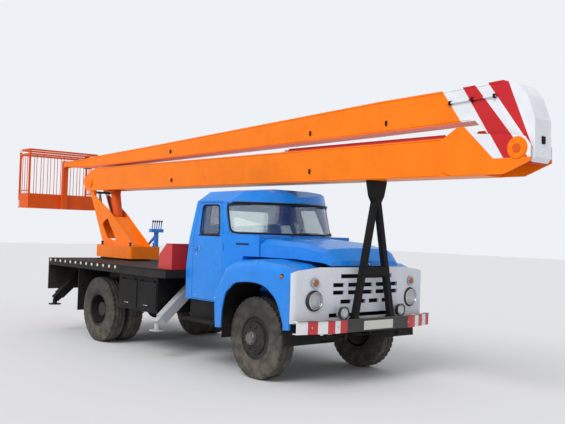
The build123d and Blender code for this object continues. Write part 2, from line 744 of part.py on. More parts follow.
# Windscreen and rear window
with BuildPart() as cab_glass:
    add(cab_form(15.0))
    add(cab_form(21.0), mode=Mode.SUBTRACT)
    side_plate(
        [
            (ahead(SCREEN_SIDE_X + 0.5), SCREEN_LOW + 0.5),
            (ahead(SCREEN_SIDE_TOP_X + 0.5), SCREEN_HIGH - 0.5),
            (ahead(100), SCREEN_HIGH - 0.5),
            (ahead(100), SCREEN_LOW + 0.5),
        ],
        -1200,
        1200,
        mode=Mode.INTERSECT,
    )
    block(
        (ahead(CAB_BACK + 30), -REAR_WINDOW_HALF + 0.5, REAR_WINDOW_LOW + 0.5),
        (ahead(CAB_BACK + 36), REAR_WINDOW_HALF - 0.5, REAR_WINDOW_HIGH - 0.5),
    )
save(cab_glass, "cab_glass")

# Bonnet: three sections from the cowl to the nose, hollow underneath
BONNET_SECTIONS = [
    # ahead of the front axle, half width, bottom, shoulder height, crown height
    (-198.0, 800.0, 1500.0, 1665.0, 1765.0),
    (350.0, 675.0, 1497.0, 1650.0, 1735.0),
    (770.0, 612.0, 1470.0, 1590.0, 1655.0),
    (880.0, 590.0, 1440.0, 1475.0, 1500.0),
]
BONNET_WALL = 22.0
BONNET_EDGE = 90.0
BONNET_RISE = 12.0


def bonnet_form(wall, lower):
    """A loft through the bonnet's sections, smaller by a wall and deeper by lower."""
    with BuildPart() as form:
        for x, half, bottom, shoulder, crown in BONNET_SECTIONS:
            half_in = half - wall
            low = bottom - lower
            high = shoulder - wall
            top = crown - wall
            edge = half_in - BONNET_EDGE
            bend = (high + top) / 2 + BONNET_RISE
            with BuildSketch(Plane.YZ.offset(ahead(x))):
                with BuildLine():
                    Polyline((-half_in, high), (-half_in, low), (half_in, low), (half_in, high))
                    Line((half_in, high), (edge, bend))
                    ThreePointArc((edge, bend), (0, top), (-edge, bend))
                    Line((-edge, bend), (-half_in, high))
                make_face()
        loft(ruled=True)
    return form.part


with BuildPart() as bonnet:
    add(bonnet_form(0.0, 0.0))
    add(bonnet_form(BONNET_WALL, 60.0).moved(Location((-BONNET_WALL, 0, 0))), mode=Mode.SUBTRACT)
save(bonnet, "bonnet")

# Front fenders: a rounded skin over the wheel, open at the arch
FENDER_INNER = 625.0
FENDER_OUTER = 1165.0
FENDER_WALL = 28.0
FENDER_ROUND = 150.0
FENDER_CROWN_Z = 1250.0
FENDER_OUTLINE = [
    # ahead of the front axle, height; round the crown from the rear foot
    (-630, 580),
    (-655, 850),
    (-640, 1220),
    (-520, 1380),
    (-330, 1455),
    (150, 1490),
    (560, 1450),
    (800, 1370),
    (805, 700),
]
FENDER_HOLLOW = [
    (-602, 500),
    (-620, 830),
    (-530, 890),
    (-530, 1240),
    (-440, 1370),
    (-320, 1427),
    (150, 1462),
    (555, 1422),
    (850, 1330),
    (850, 500),
]
ARCH_OUTLINE = [
    (-520, 400),
    (-500, 800),
    (-430, 1040),
    (-240, 1180),
    (80, 1215),
    (350, 1180),
    (560, 1040),
    (690, 800),
    (730, 400),
]
PANEL_CLEAR_Z = 1060.0


def fender_form(outline, y_inner, y_outer, radius):
    """A plate across the fender with its outer crown rounded."""
    with BuildPart() as form:
        side_plate([(ahead(x), z) for x, z in outline], *sorted((y_inner, y_outer)))
        crown_edges = form.edges().filter_by(
            lambda e: abs(abs(e.center().Y) - abs(y_outer)) < 1 and e.center().Z > FENDER_CROWN_Z
        )
        fillet(crown_edges, radius)
    return form.part


for name, side in SIDES:
    inner = side * FENDER_INNER
    outer = side * FENDER_OUTER
    skin = side * (FENDER_OUTER - FENDER_WALL)
    splash = side * (FENDER_INNER + FENDER_WALL)
    with BuildPart() as fender:
        add(fender_form(FENDER_OUTLINE, inner, outer, FENDER_ROUND))
        add(fender_form(FENDER_HOLLOW, splash, skin, FENDER_ROUND - FENDER_WALL), mode=Mode.SUBTRACT)
        y_span = sorted((splash, side * (FENDER_OUTER + 50)))
        side_plate([(ahead(x), z) for x, z in ARCH_OUTLINE], *y_span, mode=Mode.SUBTRACT)
        y_span = sorted((side * (FENDER_INNER - 50), side * (FENDER_INNER + FENDER_WALL + 5)))
        block((ahead(-700), y_span[0], 400), (ahead(900), y_span[1], PANEL_CLEAR_Z), mode=Mode.SUBTRACT)
        add(cab_clear, mode=Mode.SUBTRACT)
    save(fender, f"fender_{name}")

# Cab steps: a box sill under each door with its tread
STEP_Z = 600.0
with BuildPart() as cab_steps:
    for name, side in SIDES:
        y_span = sorted((side * 700, side * 960))
        block((ahead(-1500), y_span[0], STEP_Z + 18), (ahead(-662), y_span[1], CAB_BOTTOM - 1))
        y_span = sorted((side * 700, side * 1160))
        block((ahead(-1480), y_span[0], STEP_Z), (ahead(-662), y_span[1], STEP_Z + 18))
        y_span = sorted((side * FRAME_HALF_WIDTH, side * 710))
        for place in (-1400, -800):
            block((ahead(place), y_span[0], 700), (ahead(place + 60), y_span[1], 780))
save(cab_steps, "cab_steps")

# Seat and dashboard with the steering wheel
with BuildPart() as bench_seat:
    side_plate(
        [
            (ahead(-1515), 960),
            (ahead(-1488), 1560),
            (ahead(-1410), 1570),
            (ahead(-1390), 1240),
            (ahead(-980), 1260),
            (ahead(-960), 1160),
            (ahead(-1000), 911),
            (ahead(-1500), 911),
        ],
        -800,
        800,
    )
save(bench_seat, "bench_seat")

WHEEL_X = -760.0
WHEEL_Z = 1560.0
with BuildPart() as dashboard:
    side_plate(
        [
            (ahead(-660), 1440),
            (ahead(-640), 1690),
            (ahead(-480), 1720),
            (ahead(-515), 1440),
        ],
        -640,
        640,
    )
    bar((ahead(-560), 420, 1410), (ahead(WHEEL_X), 420, WHEEL_Z), 28)
    wheel_tilt = Vector(-240, 0, 180)
    wheel_face = Plane(origin=(ahead(WHEEL_X), 420, WHEEL_Z), x_dir=(0, 1, 0), z_dir=wheel_tilt)
    with BuildSketch(wheel_face) as wheel:
        RegularPolygon(235, 20)
        RegularPolygon(207, 20, mode=Mode.SUBTRACT)
        Rectangle(430, 30)
        Circle(50)
    extrude(wheel.sketch, amount=26)
save(dashboard, "dashboard")

# Boom rest: an A-frame on the bumper with a flat head under the boom
REST_X = 1030.0
REST_FOOT_Y = 320.0
REST_MEET_Z = 2360.0
REST_TUBE = 70.0
REST_HEAD_LOW = 2230.0
BOOM_BOTTOM = 2492.0
REST_TOP = BOOM_BOTTOM - 8.0
REST_PLATE_LOW = 1320.0
REST_PLATE_HIGH = 1440.0

with BuildPart() as boom_rest:
    rise = REST_MEET_Z - BUMPER_TOP
    for name, side in SIDES:
        foot_y = side * REST_FOOT_Y
        head_y = foot_y * (REST_MEET_Z - REST_HEAD_LOW - 50) / rise
        square_bar(
            (ahead(REST_X), foot_y, BUMPER_TOP + 10),
            (ahead(REST_X), head_y, REST_HEAD_LOW + 50),
            REST_TUBE,
        )
        block(
            (ahead(REST_X - 35), side * REST_FOOT_Y - 65, BUMPER_TOP),
            (ahead(REST_X + 35), side * REST_FOOT_Y + 65, BUMPER_TOP + 14),
        )
    cross_plate(
        [
            (-70, REST_HEAD_LOW),
            (-115, 2300),
            (-160, REST_TOP),
            (160, REST_TOP),
            (115, 2300),
            (70, REST_HEAD_LOW),
        ],
        ahead(REST_X - 30),
        ahead(REST_X + 30),
    )
    plate_half = REST_FOOT_Y * (REST_MEET_Z - REST_PLATE_LOW) / rise + REST_TUBE / 2
    top_half = REST_FOOT_Y * (REST_MEET_Z - REST_PLATE_HIGH) / rise + REST_TUBE / 2
    cross_plate(
        [
            (-plate_half, REST_PLATE_LOW),
            (plate_half, REST_PLATE_LOW),
            (top_half, REST_PLATE_HIGH),
            (-top_half, REST_PLATE_HIGH),
        ],
        ahead(REST_X + REST_TUBE / 2 - 8),
        ahead(REST_X + REST_TUBE / 2 + 6),
    )
save(boom_rest, "boom_rest")

# Deck: sills and cross bearers on the frame, chequer floor, edge rails and rear apron
DECK_HALF = 1200.0
DECK_TOP = 1245.0
DECK_FLOOR = 8.0
DECK_FRONT_X = ahead(-1790)
DECK_REAR_X = ahead(-5600)
EDGE_HEIGHT = 120.0
BEARERS = [-5440.0, -4700.0, -3300.0, -2600.0]
SLEW_X = ahead(-5080)
RING_RADIUS = 420.0
RING_TOP = DECK_TOP + 30.0

with BuildPart() as deck:
    block((DECK_REAR_X, -DECK_HALF, DECK_TOP - DECK_FLOOR), (DECK_FRONT_X, DECK_HALF, DECK_TOP))
    for name, side in SIDES:
        y_span = sorted((side * (DECK_HALF - 12), side * DECK_HALF))
        block((DECK_REAR_X, y_span[0], DECK_TOP - EDGE_HEIGHT), (DECK_FRONT_X, y_span[1], DECK_TOP))
        y_span = sorted((side * (FRAME_HALF_WIDTH - 80), side * FRAME_HALF_WIDTH))
        block((FRAME_REAR_X, y_span[0], FRAME_TOP), (DECK_FRONT_X, y_span[1], DECK_TOP - DECK_FLOOR))
    for place in BEARERS:
        block(
            (ahead(place - 40), -DECK_HALF, DECK_TOP - EDGE_HEIGHT),
            (ahead(place + 40), DECK_HALF, DECK_TOP - 1),
        )
    block((DECK_REAR_X, -DECK_HALF, 700), (DECK_REAR_X + 12, DECK_HALF, DECK_TOP - 1))
    block((DECK_FRONT_X - 12, -DECK_HALF, DECK_TOP - EDGE_HEIGHT), (DECK_FRONT_X, DECK_HALF, DECK_TOP - 1))
save(deck, "deck")

with BuildPart() as slew_ring:
    bar((SLEW_X, 0, DECK_TOP), (SLEW_X, 0, RING_TOP), RING_RADIUS)
save(slew_ring, "slew_ring")

# Side lockers between the axles, and mud flaps behind the rear wheels
with BuildPart() as side_lockers:
    for name, side in SIDES:
        y_span = sorted((side * (FRAME_HALF_WIDTH + 1), side * 1130))
        block((ahead(-3200), y_span[0], 600), (ahead(-2090), y_span[1], DECK_TOP - EDGE_HEIGHT))
save(side_lockers, "side_lockers")

with BuildPart() as mud_flaps:
    for name, side in SIDES:
        y_span = sorted((side * 610, side * 1180))
        block((ahead(-4480), y_span[0], 430), (ahead(-4468), y_span[1], DECK_TOP - DECK_FLOOR))
save(mud_flaps, "mud_flaps")

# Outriggers: inclined sleeves under the deck, each with a sliding leg and its foot
LEG_SLOPE = 42.0
LEG_WIDTH = 110.0
LEG_GAP = 3.0
SLEEVE_WALL = 10.0
LEG_TOP_Z = 1100.0
FOOT_RADIUS = 105.0
FOOT_PLATE = 16.0
LEG_OUTER_Y = 1215.0
OUTRIGGERS = [
    # name, ahead of the front axle, height of the foot's underside, travel
    ("mid", -1940.0, 385.0, 565.0),
    ("rear", -5260.0, 455.0, 665.0),
]
SLOPE_COS = math.cos(math.radians(LEG_SLOPE))
SLOPE_SIN = math.sin(math.radians(LEG_SLOPE))


def leg_points(side, foot_z):
    """The leg's lower and upper ends, in Y and Z."""
    low = (side * LEG_OUTER_Y, foot_z + 95)
    rise = LEG_TOP_Z - low[1]
    high = (side * (LEG_OUTER_Y - rise / math.tan(math.radians(LEG_SLOPE))), LEG_TOP_Z)
    return low, high


CHEEK_X = LEG_WIDTH / 2 + LEG_GAP + SLEEVE_WALL - 2

with BuildPart() as outrigger_sleeves:
    for label, place, foot_z, travel in OUTRIGGERS:
        x = ahead(place)
        for name, side in SIDES:
            low, high = leg_points(side, foot_z)
            start = (x, low[0] - side * 95 * SLOPE_COS, low[1] + 95 * SLOPE_SIN)
            end = (x, high[0] - side * 30 * SLOPE_COS, high[1] + 30 * SLOPE_SIN)
            square_bar(start, end, LEG_WIDTH + 2 * LEG_GAP + 2 * SLEEVE_WALL)
            inner_end = (x, high[0] - side * 18 * SLOPE_COS, high[1] + 18 * SLOPE_SIN)
            inner_start = (x, start[1] + side * 20 * SLOPE_COS, start[2] - 20 * SLOPE_SIN)
            square_bar(inner_start, inner_end, LEG_WIDTH + 2 * LEG_GAP, mode=Mode.SUBTRACT)
            y_span = sorted((side * FRAME_HALF_WIDTH, side * 640))
            for cheek in (-CHEEK_X - 12, CHEEK_X):
                block((x + cheek, y_span[0], 985), (x + cheek + 12, y_span[1], 1105))
save(outrigger_sleeves, "outrigger_sleeves")

for label, place, foot_z, travel in OUTRIGGERS:
    x = ahead(place)
    for name, side in SIDES:
        low, high = leg_points(side, foot_z)
        with BuildPart() as leg:
            square_bar((x, low[0], low[1]), (x, high[0], high[1]), LEG_WIDTH)
            bar((x, low[0], foot_z), (x, low[0], foot_z + FOOT_PLATE), FOOT_RADIUS)
            bar((x, low[0], foot_z + FOOT_PLATE), (x, low[0], low[1]), 38)
        save(leg, f"outrigger_leg_{label}_{name}")

# Red locker behind the cab
with BuildPart() as red_locker:
    side_plate(
        [
            (ahead(-2170), DECK_TOP),
            (ahead(-2140), DECK_TOP + 210),
            (ahead(-1970), 1600),
            (ahead(-1810), 1600),
            (ahead(-1810), DECK_TOP),
        ],
        -1090,
        -560,
    )
save(red_locker, "red_locker")

# Turret: slewing base box and two leaning side plates with a cut-out
BASE_BOTTOM = RING_TOP + 1.0
BASE_TOP = 1490.0
BASE_HALF = 300.0
PLATE_INNER = 145.0
PLATE_OUTER = 165.0
EAR_RADIUS = 112.0
BOOM_PIVOT = (ahead(-6120), 2640.0)
LIFT_FOOT = (BOOM_PIVOT[0] + 870.0, 1570.0)
COLUMN_OUTLINE = [
    # ahead of the front axle, height
    (-5580, BASE_TOP),
    (-6170, 2480),
    (-6232, BOOM_PIVOT[1]),
    (-6008, BOOM_PIVOT[1]),
    (-6020, 2420),
    (-5350, 2080),
    (-4450, BASE_TOP),
]
COLUMN_HOLE = [
    (-5460, 1980),
    (-5660, 1870),
    (-5440, 1620),
    (-5060, 1540),
]

with BuildPart() as turret:
    flat_plate(
        [
            (ahead(-5600), -BASE_HALF),
            (ahead(-4350), -BASE_HALF),
            (ahead(-4350), BASE_HALF),
            (ahead(-5600), BASE_HALF),
        ],
        BASE_BOTTOM,
        BASE_TOP,
        round_by=45,
    )
    for name, side in SIDES:
        y_span = sorted((side * PLATE_INNER, side * PLATE_OUTER))
        side_plate([(ahead(x), z) for x, z in COLUMN_OUTLINE], *y_span)
        pivot_boss(BOOM_PIVOT[0], BOOM_PIVOT[1], EAR_RADIUS, *y_span)
        side_plate([(ahead(x), z) for x, z in COLUMN_HOLE], *y_span, mode=Mode.SUBTRACT, round_by=40)
        y_span = sorted((side * 46, side * 64))
        pivot_boss(LIFT_FOOT[0], LIFT_FOOT[1], 52, *y_span)
        block((LIFT_FOOT[0] - 50, y_span[0], BASE_TOP), (LIFT_FOOT[0] + 50, y_span[1], LIFT_FOOT[1]))
    for low, high in (((-5650, 1600), (-5950, 2110)), ((-4660, 1500), (-5240, 2000))):
        run = math.hypot(high[0] - low[0], high[1] - low[1])
        thick = ((high[1] - low[1]) / run * 22, -(high[0] - low[0]) / run * 22)
        inward = 1 if low[0] < -5000 else -1
        side_plate(
            [
                (ahead(low[0]), low[1]),
                (ahead(high[0]), high[1]),
                (ahead(high[0] + inward * thick[0]), high[1] + inward * thick[1]),
                (ahead(low[0] + inward * thick[0]), low[1] + inward * thick[1]),
            ],
            -PLATE_INNER,
            PLATE_INNER,
        )
    pivot_boss(LIFT_FOOT[0], LIFT_FOOT[1], 24, -65, 65)
    pivot_boss(BOOM_PIVOT[0], BOOM_PIVOT[1], 41, -PLATE_OUTER, PLATE_OUTER, mode=Mode.SUBTRACT)
save(turret, "turret")

# Control stand on the front of the turret's base: post, brace and a row of levers
STAND_X = ahead(-4395)
STAND_Y = 232.0
STAND_TOP = 1745.0
with BuildPart() as control_stand:
    block((STAND_X - 30, STAND_Y - 30, BASE_TOP), (STAND_X + 30, STAND_Y + 30, STAND_TOP))
    side_plate(
        [
            (STAND_X - 20, STAND_TOP - 40),
            (STAND_X - 330, BASE_TOP),
            (STAND_X - 280, BASE_TOP),
            (STAND_X - 20, STAND_TOP - 90),
        ],
        STAND_Y - 15,
        STAND_Y + 15,
    )
    block((STAND_X - 45, STAND_Y - 120, STAND_TOP), (STAND_X + 45, STAND_Y + 120, STAND_TOP + 60))
    for lever in range(5):
        lever_y = STAND_Y - 90 + lever * 45
        square_bar((STAND_X, lever_y, STAND_TOP + 55), (STAND_X + 25, lever_y, STAND_TOP + 185), 12)
save(control_stand, "control_stand")

# Lift cylinder: barrel on the turret, rod up to the boom's lugs
LIFT_EYE = (BOOM_PIVOT[0] + 600.0, BOOM_PIVOT[1] - 40.0)
LIFT_RUN = math.hypot(LIFT_EYE[0] - LIFT_FOOT[0], LIFT_EYE[1] - LIFT_FOOT[1])
LIFT_DIR = ((LIFT_EYE[0] - LIFT_FOOT[0]) / LIFT_RUN, (LIFT_EYE[1] - LIFT_FOOT[1]) / LIFT_RUN)
BARREL_RADIUS = 86.0
LIFT_ROD_RADIUS = 38.0
BARREL_END = 940.0
ROD_START = 100.0


def along_lift(distance):
    """A point on the lift cylinder's line, measured from its foot."""
    return (LIFT_FOOT[0] + LIFT_DIR[0] * distance, 0, LIFT_FOOT[1] + LIFT_DIR[1] * distance)


with BuildPart() as lift_barrel:
    bar(along_lift(40), along_lift(74), 38)
    bar(along_lift(74), along_lift(BARREL_END), BARREL_RADIUS)
    pivot_boss(LIFT_FOOT[0], LIFT_FOOT[1], 48, -39, 39)
    bar(along_lift(ROD_START - 12), along_lift(BARREL_END + 5), LIFT_ROD_RADIUS + 2, mode=Mode.SUBTRACT)
    pivot_boss(LIFT_FOOT[0], LIFT_FOOT[1], 25, -60, 60, mode=Mode.SUBTRACT)
save(lift_barrel, "lift_barrel")

with BuildPart() as lift_rod:
    bar(along_lift(ROD_START), along_lift(LIFT_RUN - 20), LIFT_ROD_RADIUS)
    pivot_boss(LIFT_EYE[0], LIFT_EYE[1], 46, -34, 34)
    pivot_boss(LIFT_EYE[0], LIFT_EYE[1], 22, -41, 41)
save(lift_rod, "lift_rod")

# Lower boom: box section, open foot over the turret's ears, bulkhead at the elbow end
LOWER_HALF = 190.0
LOWER_WALL = 12.0
LOWER_TOP = 2915.0
CHEEK_THICKNESS = 14.0
ELBOW = (ahead(3120), 2755.0)
KNUCKLE_PIN = (ahead(2960), 2800.0)
ELBOW_PIN = 45.0
LINK_RADIUS = 88.0
LINK_LOW = 156.0
LINK_HIGH = 184.0
FORK_START = 2700.0
LOWER_SIDE = [
    # ahead of the front axle, height
    (-6290, BOOM_BOTTOM),
    (-6400, 2620),
    (-6410, 2730),
    (-6100, 2875),
    (-5850, LOWER_TOP),
    (FORK_START, LOWER_TOP),
    (FORK_START, BOOM_BOTTOM),
]
FOOT_OPEN_X = -5020.0
FOOT_HOLLOW = [
    (-7000, 2000),
    (-7000, 2500),
    (-6395, 2722),
    (-6097, 2862),
    (-5848, LOWER_TOP - LOWER_WALL),
    (FOOT_OPEN_X, LOWER_TOP - LOWER_WALL),
    (FOOT_OPEN_X, 2000),
]

with BuildPart() as lower_boom:
    side_plate([(ahead(x), z) for x, z in LOWER_SIDE], -LOWER_HALF, LOWER_HALF)
    inner_half = LOWER_HALF - LOWER_WALL
    block(
        (ahead(FOOT_OPEN_X + LOWER_WALL), -inner_half, BOOM_BOTTOM + LOWER_WALL),
        (ahead(FORK_START - LOWER_WALL), inner_half, LOWER_TOP - LOWER_WALL),
        mode=Mode.SUBTRACT,
    )
    side_plate([(ahead(x), z) for x, z in FOOT_HOLLOW], -inner_half, inner_half, mode=Mode.SUBTRACT)
    for name, side in SIDES:
        y_span = sorted((side * LOWER_HALF, side * (LOWER_HALF + CHEEK_THICKNESS)))
        pivot_boss(BOOM_PIVOT[0], BOOM_PIVOT[1], 85, *y_span)
    pivot_boss(BOOM_PIVOT[0], BOOM_PIVOT[1], 40, -LOWER_HALF - CHEEK_THICKNESS, LOWER_HALF + CHEEK_THICKNESS)
save(lower_boom, "lower_boom")

# Lift lugs: two plates on the boom's bulkhead, one each side of the rod's eye
with BuildPart() as lift_lugs:
    for name, side in SIDES:
        y_span = sorted((side * 47, side * 65))
        side_plate(
            [
                (ahead(FOOT_OPEN_X), BOOM_BOTTOM + 5),
                (LIFT_EYE[0] - 5, LIFT_EYE[1] - 50),
                (LIFT_EYE[0] - 55, LIFT_EYE[1]),
                (LIFT_EYE[0], LIFT_EYE[1] + 55),
                (ahead(FOOT_OPEN_X), 2800),
            ],
            *y_span,
        )
save(lift_lugs, "lift_lugs")

# Fork cheeks: side plates on the lower boom's end that carry the elbow's pin
CHEEK_OUTLINE = [
    # ahead of the front axle, height
    (2160, BOOM_BOTTOM + 60),
    (2160, LOWER_TOP - 20),
    (2370, 3020),
    (2460, 3020),
    (2640, 2930),
    (3060, 2900),
    (3200, 2870),
    (3270, 2780),
    (3270, 2620),
    (2960, BOOM_BOTTOM + 4),
    (2300, BOOM_BOTTOM + 4),
]

for name, side in SIDES:
    with BuildPart() as cheek:
        y_span = sorted((side * LOWER_HALF, side * (LOWER_HALF + CHEEK_THICKNESS)))
        side_plate([(ahead(x), z) for x, z in CHEEK_OUTLINE], *y_span)
        y_span = sorted((side * LOWER_HALF, side * (LOWER_HALF + 26)))
        pivot_boss(ELBOW[0], ELBOW[1], 105, *y_span)
        pivot_boss(ELBOW[0], ELBOW[1], ELBOW_PIN + 0.5, *y_span, mode=Mode.SUBTRACT)
    save(cheek, f"fork_cheek_{name}")

# Elbow link: a plate in each gap of the fork, pinned to the cheek at one end and to the knuckle at the other
link_x = KNUCKLE_PIN[0] - ELBOW[0]
link_z = KNUCKLE_PIN[1] - ELBOW[1]
link_length = math.hypot(link_x, link_z)
rim_x = -link_z / link_length * LINK_RADIUS
rim_z = link_x / link_length * LINK_RADIUS
LINK_OUTLINE = [
    (ELBOW[0] + rim_x, ELBOW[1] + rim_z),
    (KNUCKLE_PIN[0] + rim_x, KNUCKLE_PIN[1] + rim_z),
    (KNUCKLE_PIN[0] - rim_x, KNUCKLE_PIN[1] - rim_z),
    (ELBOW[0] - rim_x, ELBOW[1] - rim_z),
]
with BuildPart() as elbow_link:
    pivot_boss(KNUCKLE_PIN[0], KNUCKLE_PIN[1], ELBOW_PIN, -LINK_HIGH, LINK_HIGH)
    for name, side in SIDES:
        y_span = sorted((side * LINK_LOW, side * LINK_HIGH))
        side_plate(LINK_OUTLINE, *y_span)
        pivot_boss(ELBOW[0], ELBOW[1], LINK_RADIUS, *y_span)
        pivot_boss(KNUCKLE_PIN[0], KNUCKLE_PIN[1], LINK_RADIUS, *y_span)
        y_span = sorted((side * LINK_LOW, side * (LOWER_HALF + 34)))
        pivot_boss(ELBOW[0], ELBOW[1], ELBOW_PIN, *y_span)
save(elbow_link, "elbow_link")

# Levelling rod on the lower boom
LEVEL_ROD_RADIUS = 33.0
with BuildPart() as level_rod:
    bar((ahead(-600), 0, LOWER_TOP + 34), (ahead(2050), 0, LOWER_TOP + 34), LEVEL_ROD_RADIUS)
save(level_rod, "level_rod")

# Upper boom: a tapered box, with lugs for the basket's pin at its tip
UPPER_HALF = 150.0
UPPER_WALL = 10.0
KNUCKLE_START = 2560.0
UPPER_END = -7400.0
BASKET_PIVOT = (ahead(-7470), 3045.0)
UPPER_SIDE = [
    # ahead of the front axle, height
    (UPPER_END, 3000),
    (-6600, 2955),
    (-5900, 2950),
    (900, 3050),
    (KNUCKLE_START, 3085),
    (KNUCKLE_START, 3466),
    (2100, 3450),
    (1170, 3430),
    (-4100, 3215),
    (-5900, 3150),
    (-6600, 3110),
    (UPPER_END, 3095),
]
UPPER_HOLLOW = [
    (UPPER_END + 60, 3012),
    (-6600, 2967),
    (-5900, 2962),
    (2500, 3098),
    (2500, 3450),
    (1170, 3416),
    (-5900, 3138),
    (-6600, 3098),
    (UPPER_END + 60, 3083),
]

with BuildPart() as upper_boom:
    side_plate([(ahead(x), z) for x, z in UPPER_SIDE], -UPPER_HALF, UPPER_HALF)
    side_plate(
        [(ahead(x), z) for x, z in UPPER_HOLLOW],
        -UPPER_HALF + UPPER_WALL,
        UPPER_HALF - UPPER_WALL,
        mode=Mode.SUBTRACT,
    )
    for name, side in SIDES:
        y_span = sorted((side * 60, side * 80))
        side_plate(
            [
                (ahead(UPPER_END + 5), 3002),
                (BASKET_PIVOT[0] - 18, BASKET_PIVOT[1] - 46),
                (BASKET_PIVOT[0] - 50, BASKET_PIVOT[1]),
                (BASKET_PIVOT[0] - 18, BASKET_PIVOT[1] + 46),
                (ahead(UPPER_END + 5), 3093),
            ],
            *y_span,
        )
    pivot_boss(BASKET_PIVOT[0], BASKET_PIVOT[1], 26, -100, 100, mode=Mode.SUBTRACT)
save(upper_boom, "upper_boom")

# Upper knuckle: the boom's deep end, which comes down into the fork and turns on the elbow link
KNUCKLE_SIDE = [
    # ahead of the front axle, height
    (KNUCKLE_START, 3085),
    (2800, 2860),
    (2960, 2625),
    (3240, 2600),
    (3290, 2660),
    (3280, 3050),
    (3190, 3290),
    (3080, 3420),
    (2900, 3480),
    (KNUCKLE_START, 3466),
]
with BuildPart() as upper_knuckle:
    side_plate([(ahead(x), z) for x, z in KNUCKLE_SIDE], -UPPER_HALF, UPPER_HALF)
    side_plate(
        [
            (ahead(KNUCKLE_START - 1), 3110),
            (ahead(2800), 3110),
            (ahead(3080), 3250),
            (ahead(2880), 3456),
            (ahead(KNUCKLE_START - 1), 3444),
        ],
        -UPPER_HALF + UPPER_WALL,
        UPPER_HALF - UPPER_WALL,
        mode=Mode.SUBTRACT,
    )
    pivot_boss(KNUCKLE_PIN[0], KNUCKLE_PIN[1], ELBOW_PIN + 0.5, -200, 200, mode=Mode.SUBTRACT)
save(upper_knuckle, "upper_knuckle")

# Basket: floor, toe boards, double top rail, thin round bars and the post that it hangs by
BASKET_FRONT = ahead(-7680)
BASKET_REAR = ahead(-8180)
BASKET_HALF = 750.0
BASKET_BOTTOM = 2150.0
TOE_TOP = 2440.0
RAIL_TOP = 3340.0
RAIL_STEP = 90.0
TOE_WALL = 10.0
POST_WIDTH = 34.0
BAR_RADIUS = 7.0
BARS_LONG = 9
BARS_SHORT = 3
HANGER_HALF = 55.0
HANGER_DEPTH = 75.0

with BuildPart() as basket:
    block((BASKET_REAR, -BASKET_HALF, BASKET_BOTTOM), (BASKET_FRONT, BASKET_HALF, TOE_TOP))
    block(
        (BASKET_REAR + TOE_WALL, -BASKET_HALF + TOE_WALL, BASKET_BOTTOM + TOE_WALL),
        (BASKET_FRONT - TOE_WALL, BASKET_HALF - TOE_WALL, TOE_TOP + 1),
        mode=Mode.SUBTRACT,
    )
    inset_by = POST_WIDTH / 2
    corners = [
        (BASKET_REAR + inset_by, -BASKET_HALF + inset_by),
        (BASKET_FRONT - inset_by, -BASKET_HALF + inset_by),
        (BASKET_FRONT - inset_by, BASKET_HALF - inset_by),
        (BASKET_REAR + inset_by, BASKET_HALF - inset_by),
    ]
    for number, (x, y) in enumerate(corners):
        square_bar((x, y, BASKET_BOTTOM + 5), (x, y, RAIL_TOP), POST_WIDTH)
        next_x, next_y = corners[(number + 1) % 4]
        for height in (RAIL_TOP - inset_by, RAIL_TOP - inset_by - RAIL_STEP):
            square_bar((x, y, height), (next_x, next_y, height), POST_WIDTH)
        count = BARS_SHORT if abs(next_x - x) > 1 else BARS_LONG
        for step in range(1, count + 1):
            share = step / (count + 1)
            bar_x = x + (next_x - x) * share
            bar_y = y + (next_y - y) * share
            with BuildSketch(Plane.XY.offset(TOE_TOP - 5)) as bar_face:
                with Locations((bar_x, bar_y)):
                    RegularPolygon(BAR_RADIUS, 8)
            extrude(bar_face.sketch, amount=RAIL_TOP - RAIL_STEP - TOE_TOP)
    hanger_top = BASKET_PIVOT[1] + 90
    block(
        (BASKET_FRONT - 5, -HANGER_HALF, BASKET_BOTTOM),
        (BASKET_FRONT + HANGER_DEPTH, HANGER_HALF, hanger_top),
    )
    for name, side in SIDES:
        y_span = sorted((side * 30, side * 50))
        side_plate(
            [
                (BASKET_FRONT + HANGER_DEPTH - 15, BASKET_PIVOT[1] - 58),
                (BASKET_PIVOT[0] + 10, BASKET_PIVOT[1] - 40),
                (BASKET_PIVOT[0] + 42, BASKET_PIVOT[1]),
                (BASKET_PIVOT[0] + 10, BASKET_PIVOT[1] + 40),
                (BASKET_FRONT + HANGER_DEPTH - 15, BASKET_PIVOT[1] + 58),
            ],
            *y_span,
        )
    pivot_boss(BASKET_PIVOT[0], BASKET_PIVOT[1], 25, -100, 100)
save(basket, "basket")
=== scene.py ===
"""Dresses the aerial platform lorry: finishes on its solids, and the fittings too fine for them."""

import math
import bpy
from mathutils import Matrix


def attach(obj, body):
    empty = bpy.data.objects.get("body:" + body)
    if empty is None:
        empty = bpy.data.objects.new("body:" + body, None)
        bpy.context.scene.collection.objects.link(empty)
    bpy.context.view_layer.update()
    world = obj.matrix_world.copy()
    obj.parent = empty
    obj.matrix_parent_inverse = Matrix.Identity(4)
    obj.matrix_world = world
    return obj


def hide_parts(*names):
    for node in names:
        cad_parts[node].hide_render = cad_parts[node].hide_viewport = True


bl_info = {
    "name": "Aerial Platform Lorry",
    "version": (1, 0, 0),
    "blender": (4, 5, 0),
    "location": "3D View > Sidebar > Platform Lorry",
    "description": "Finishes and fittings for a two-boom aerial platform on a long-nosed lorry",
    "category": "Object",
}

import bmesh
import bpy
import numpy as np
from mathutils import Matrix

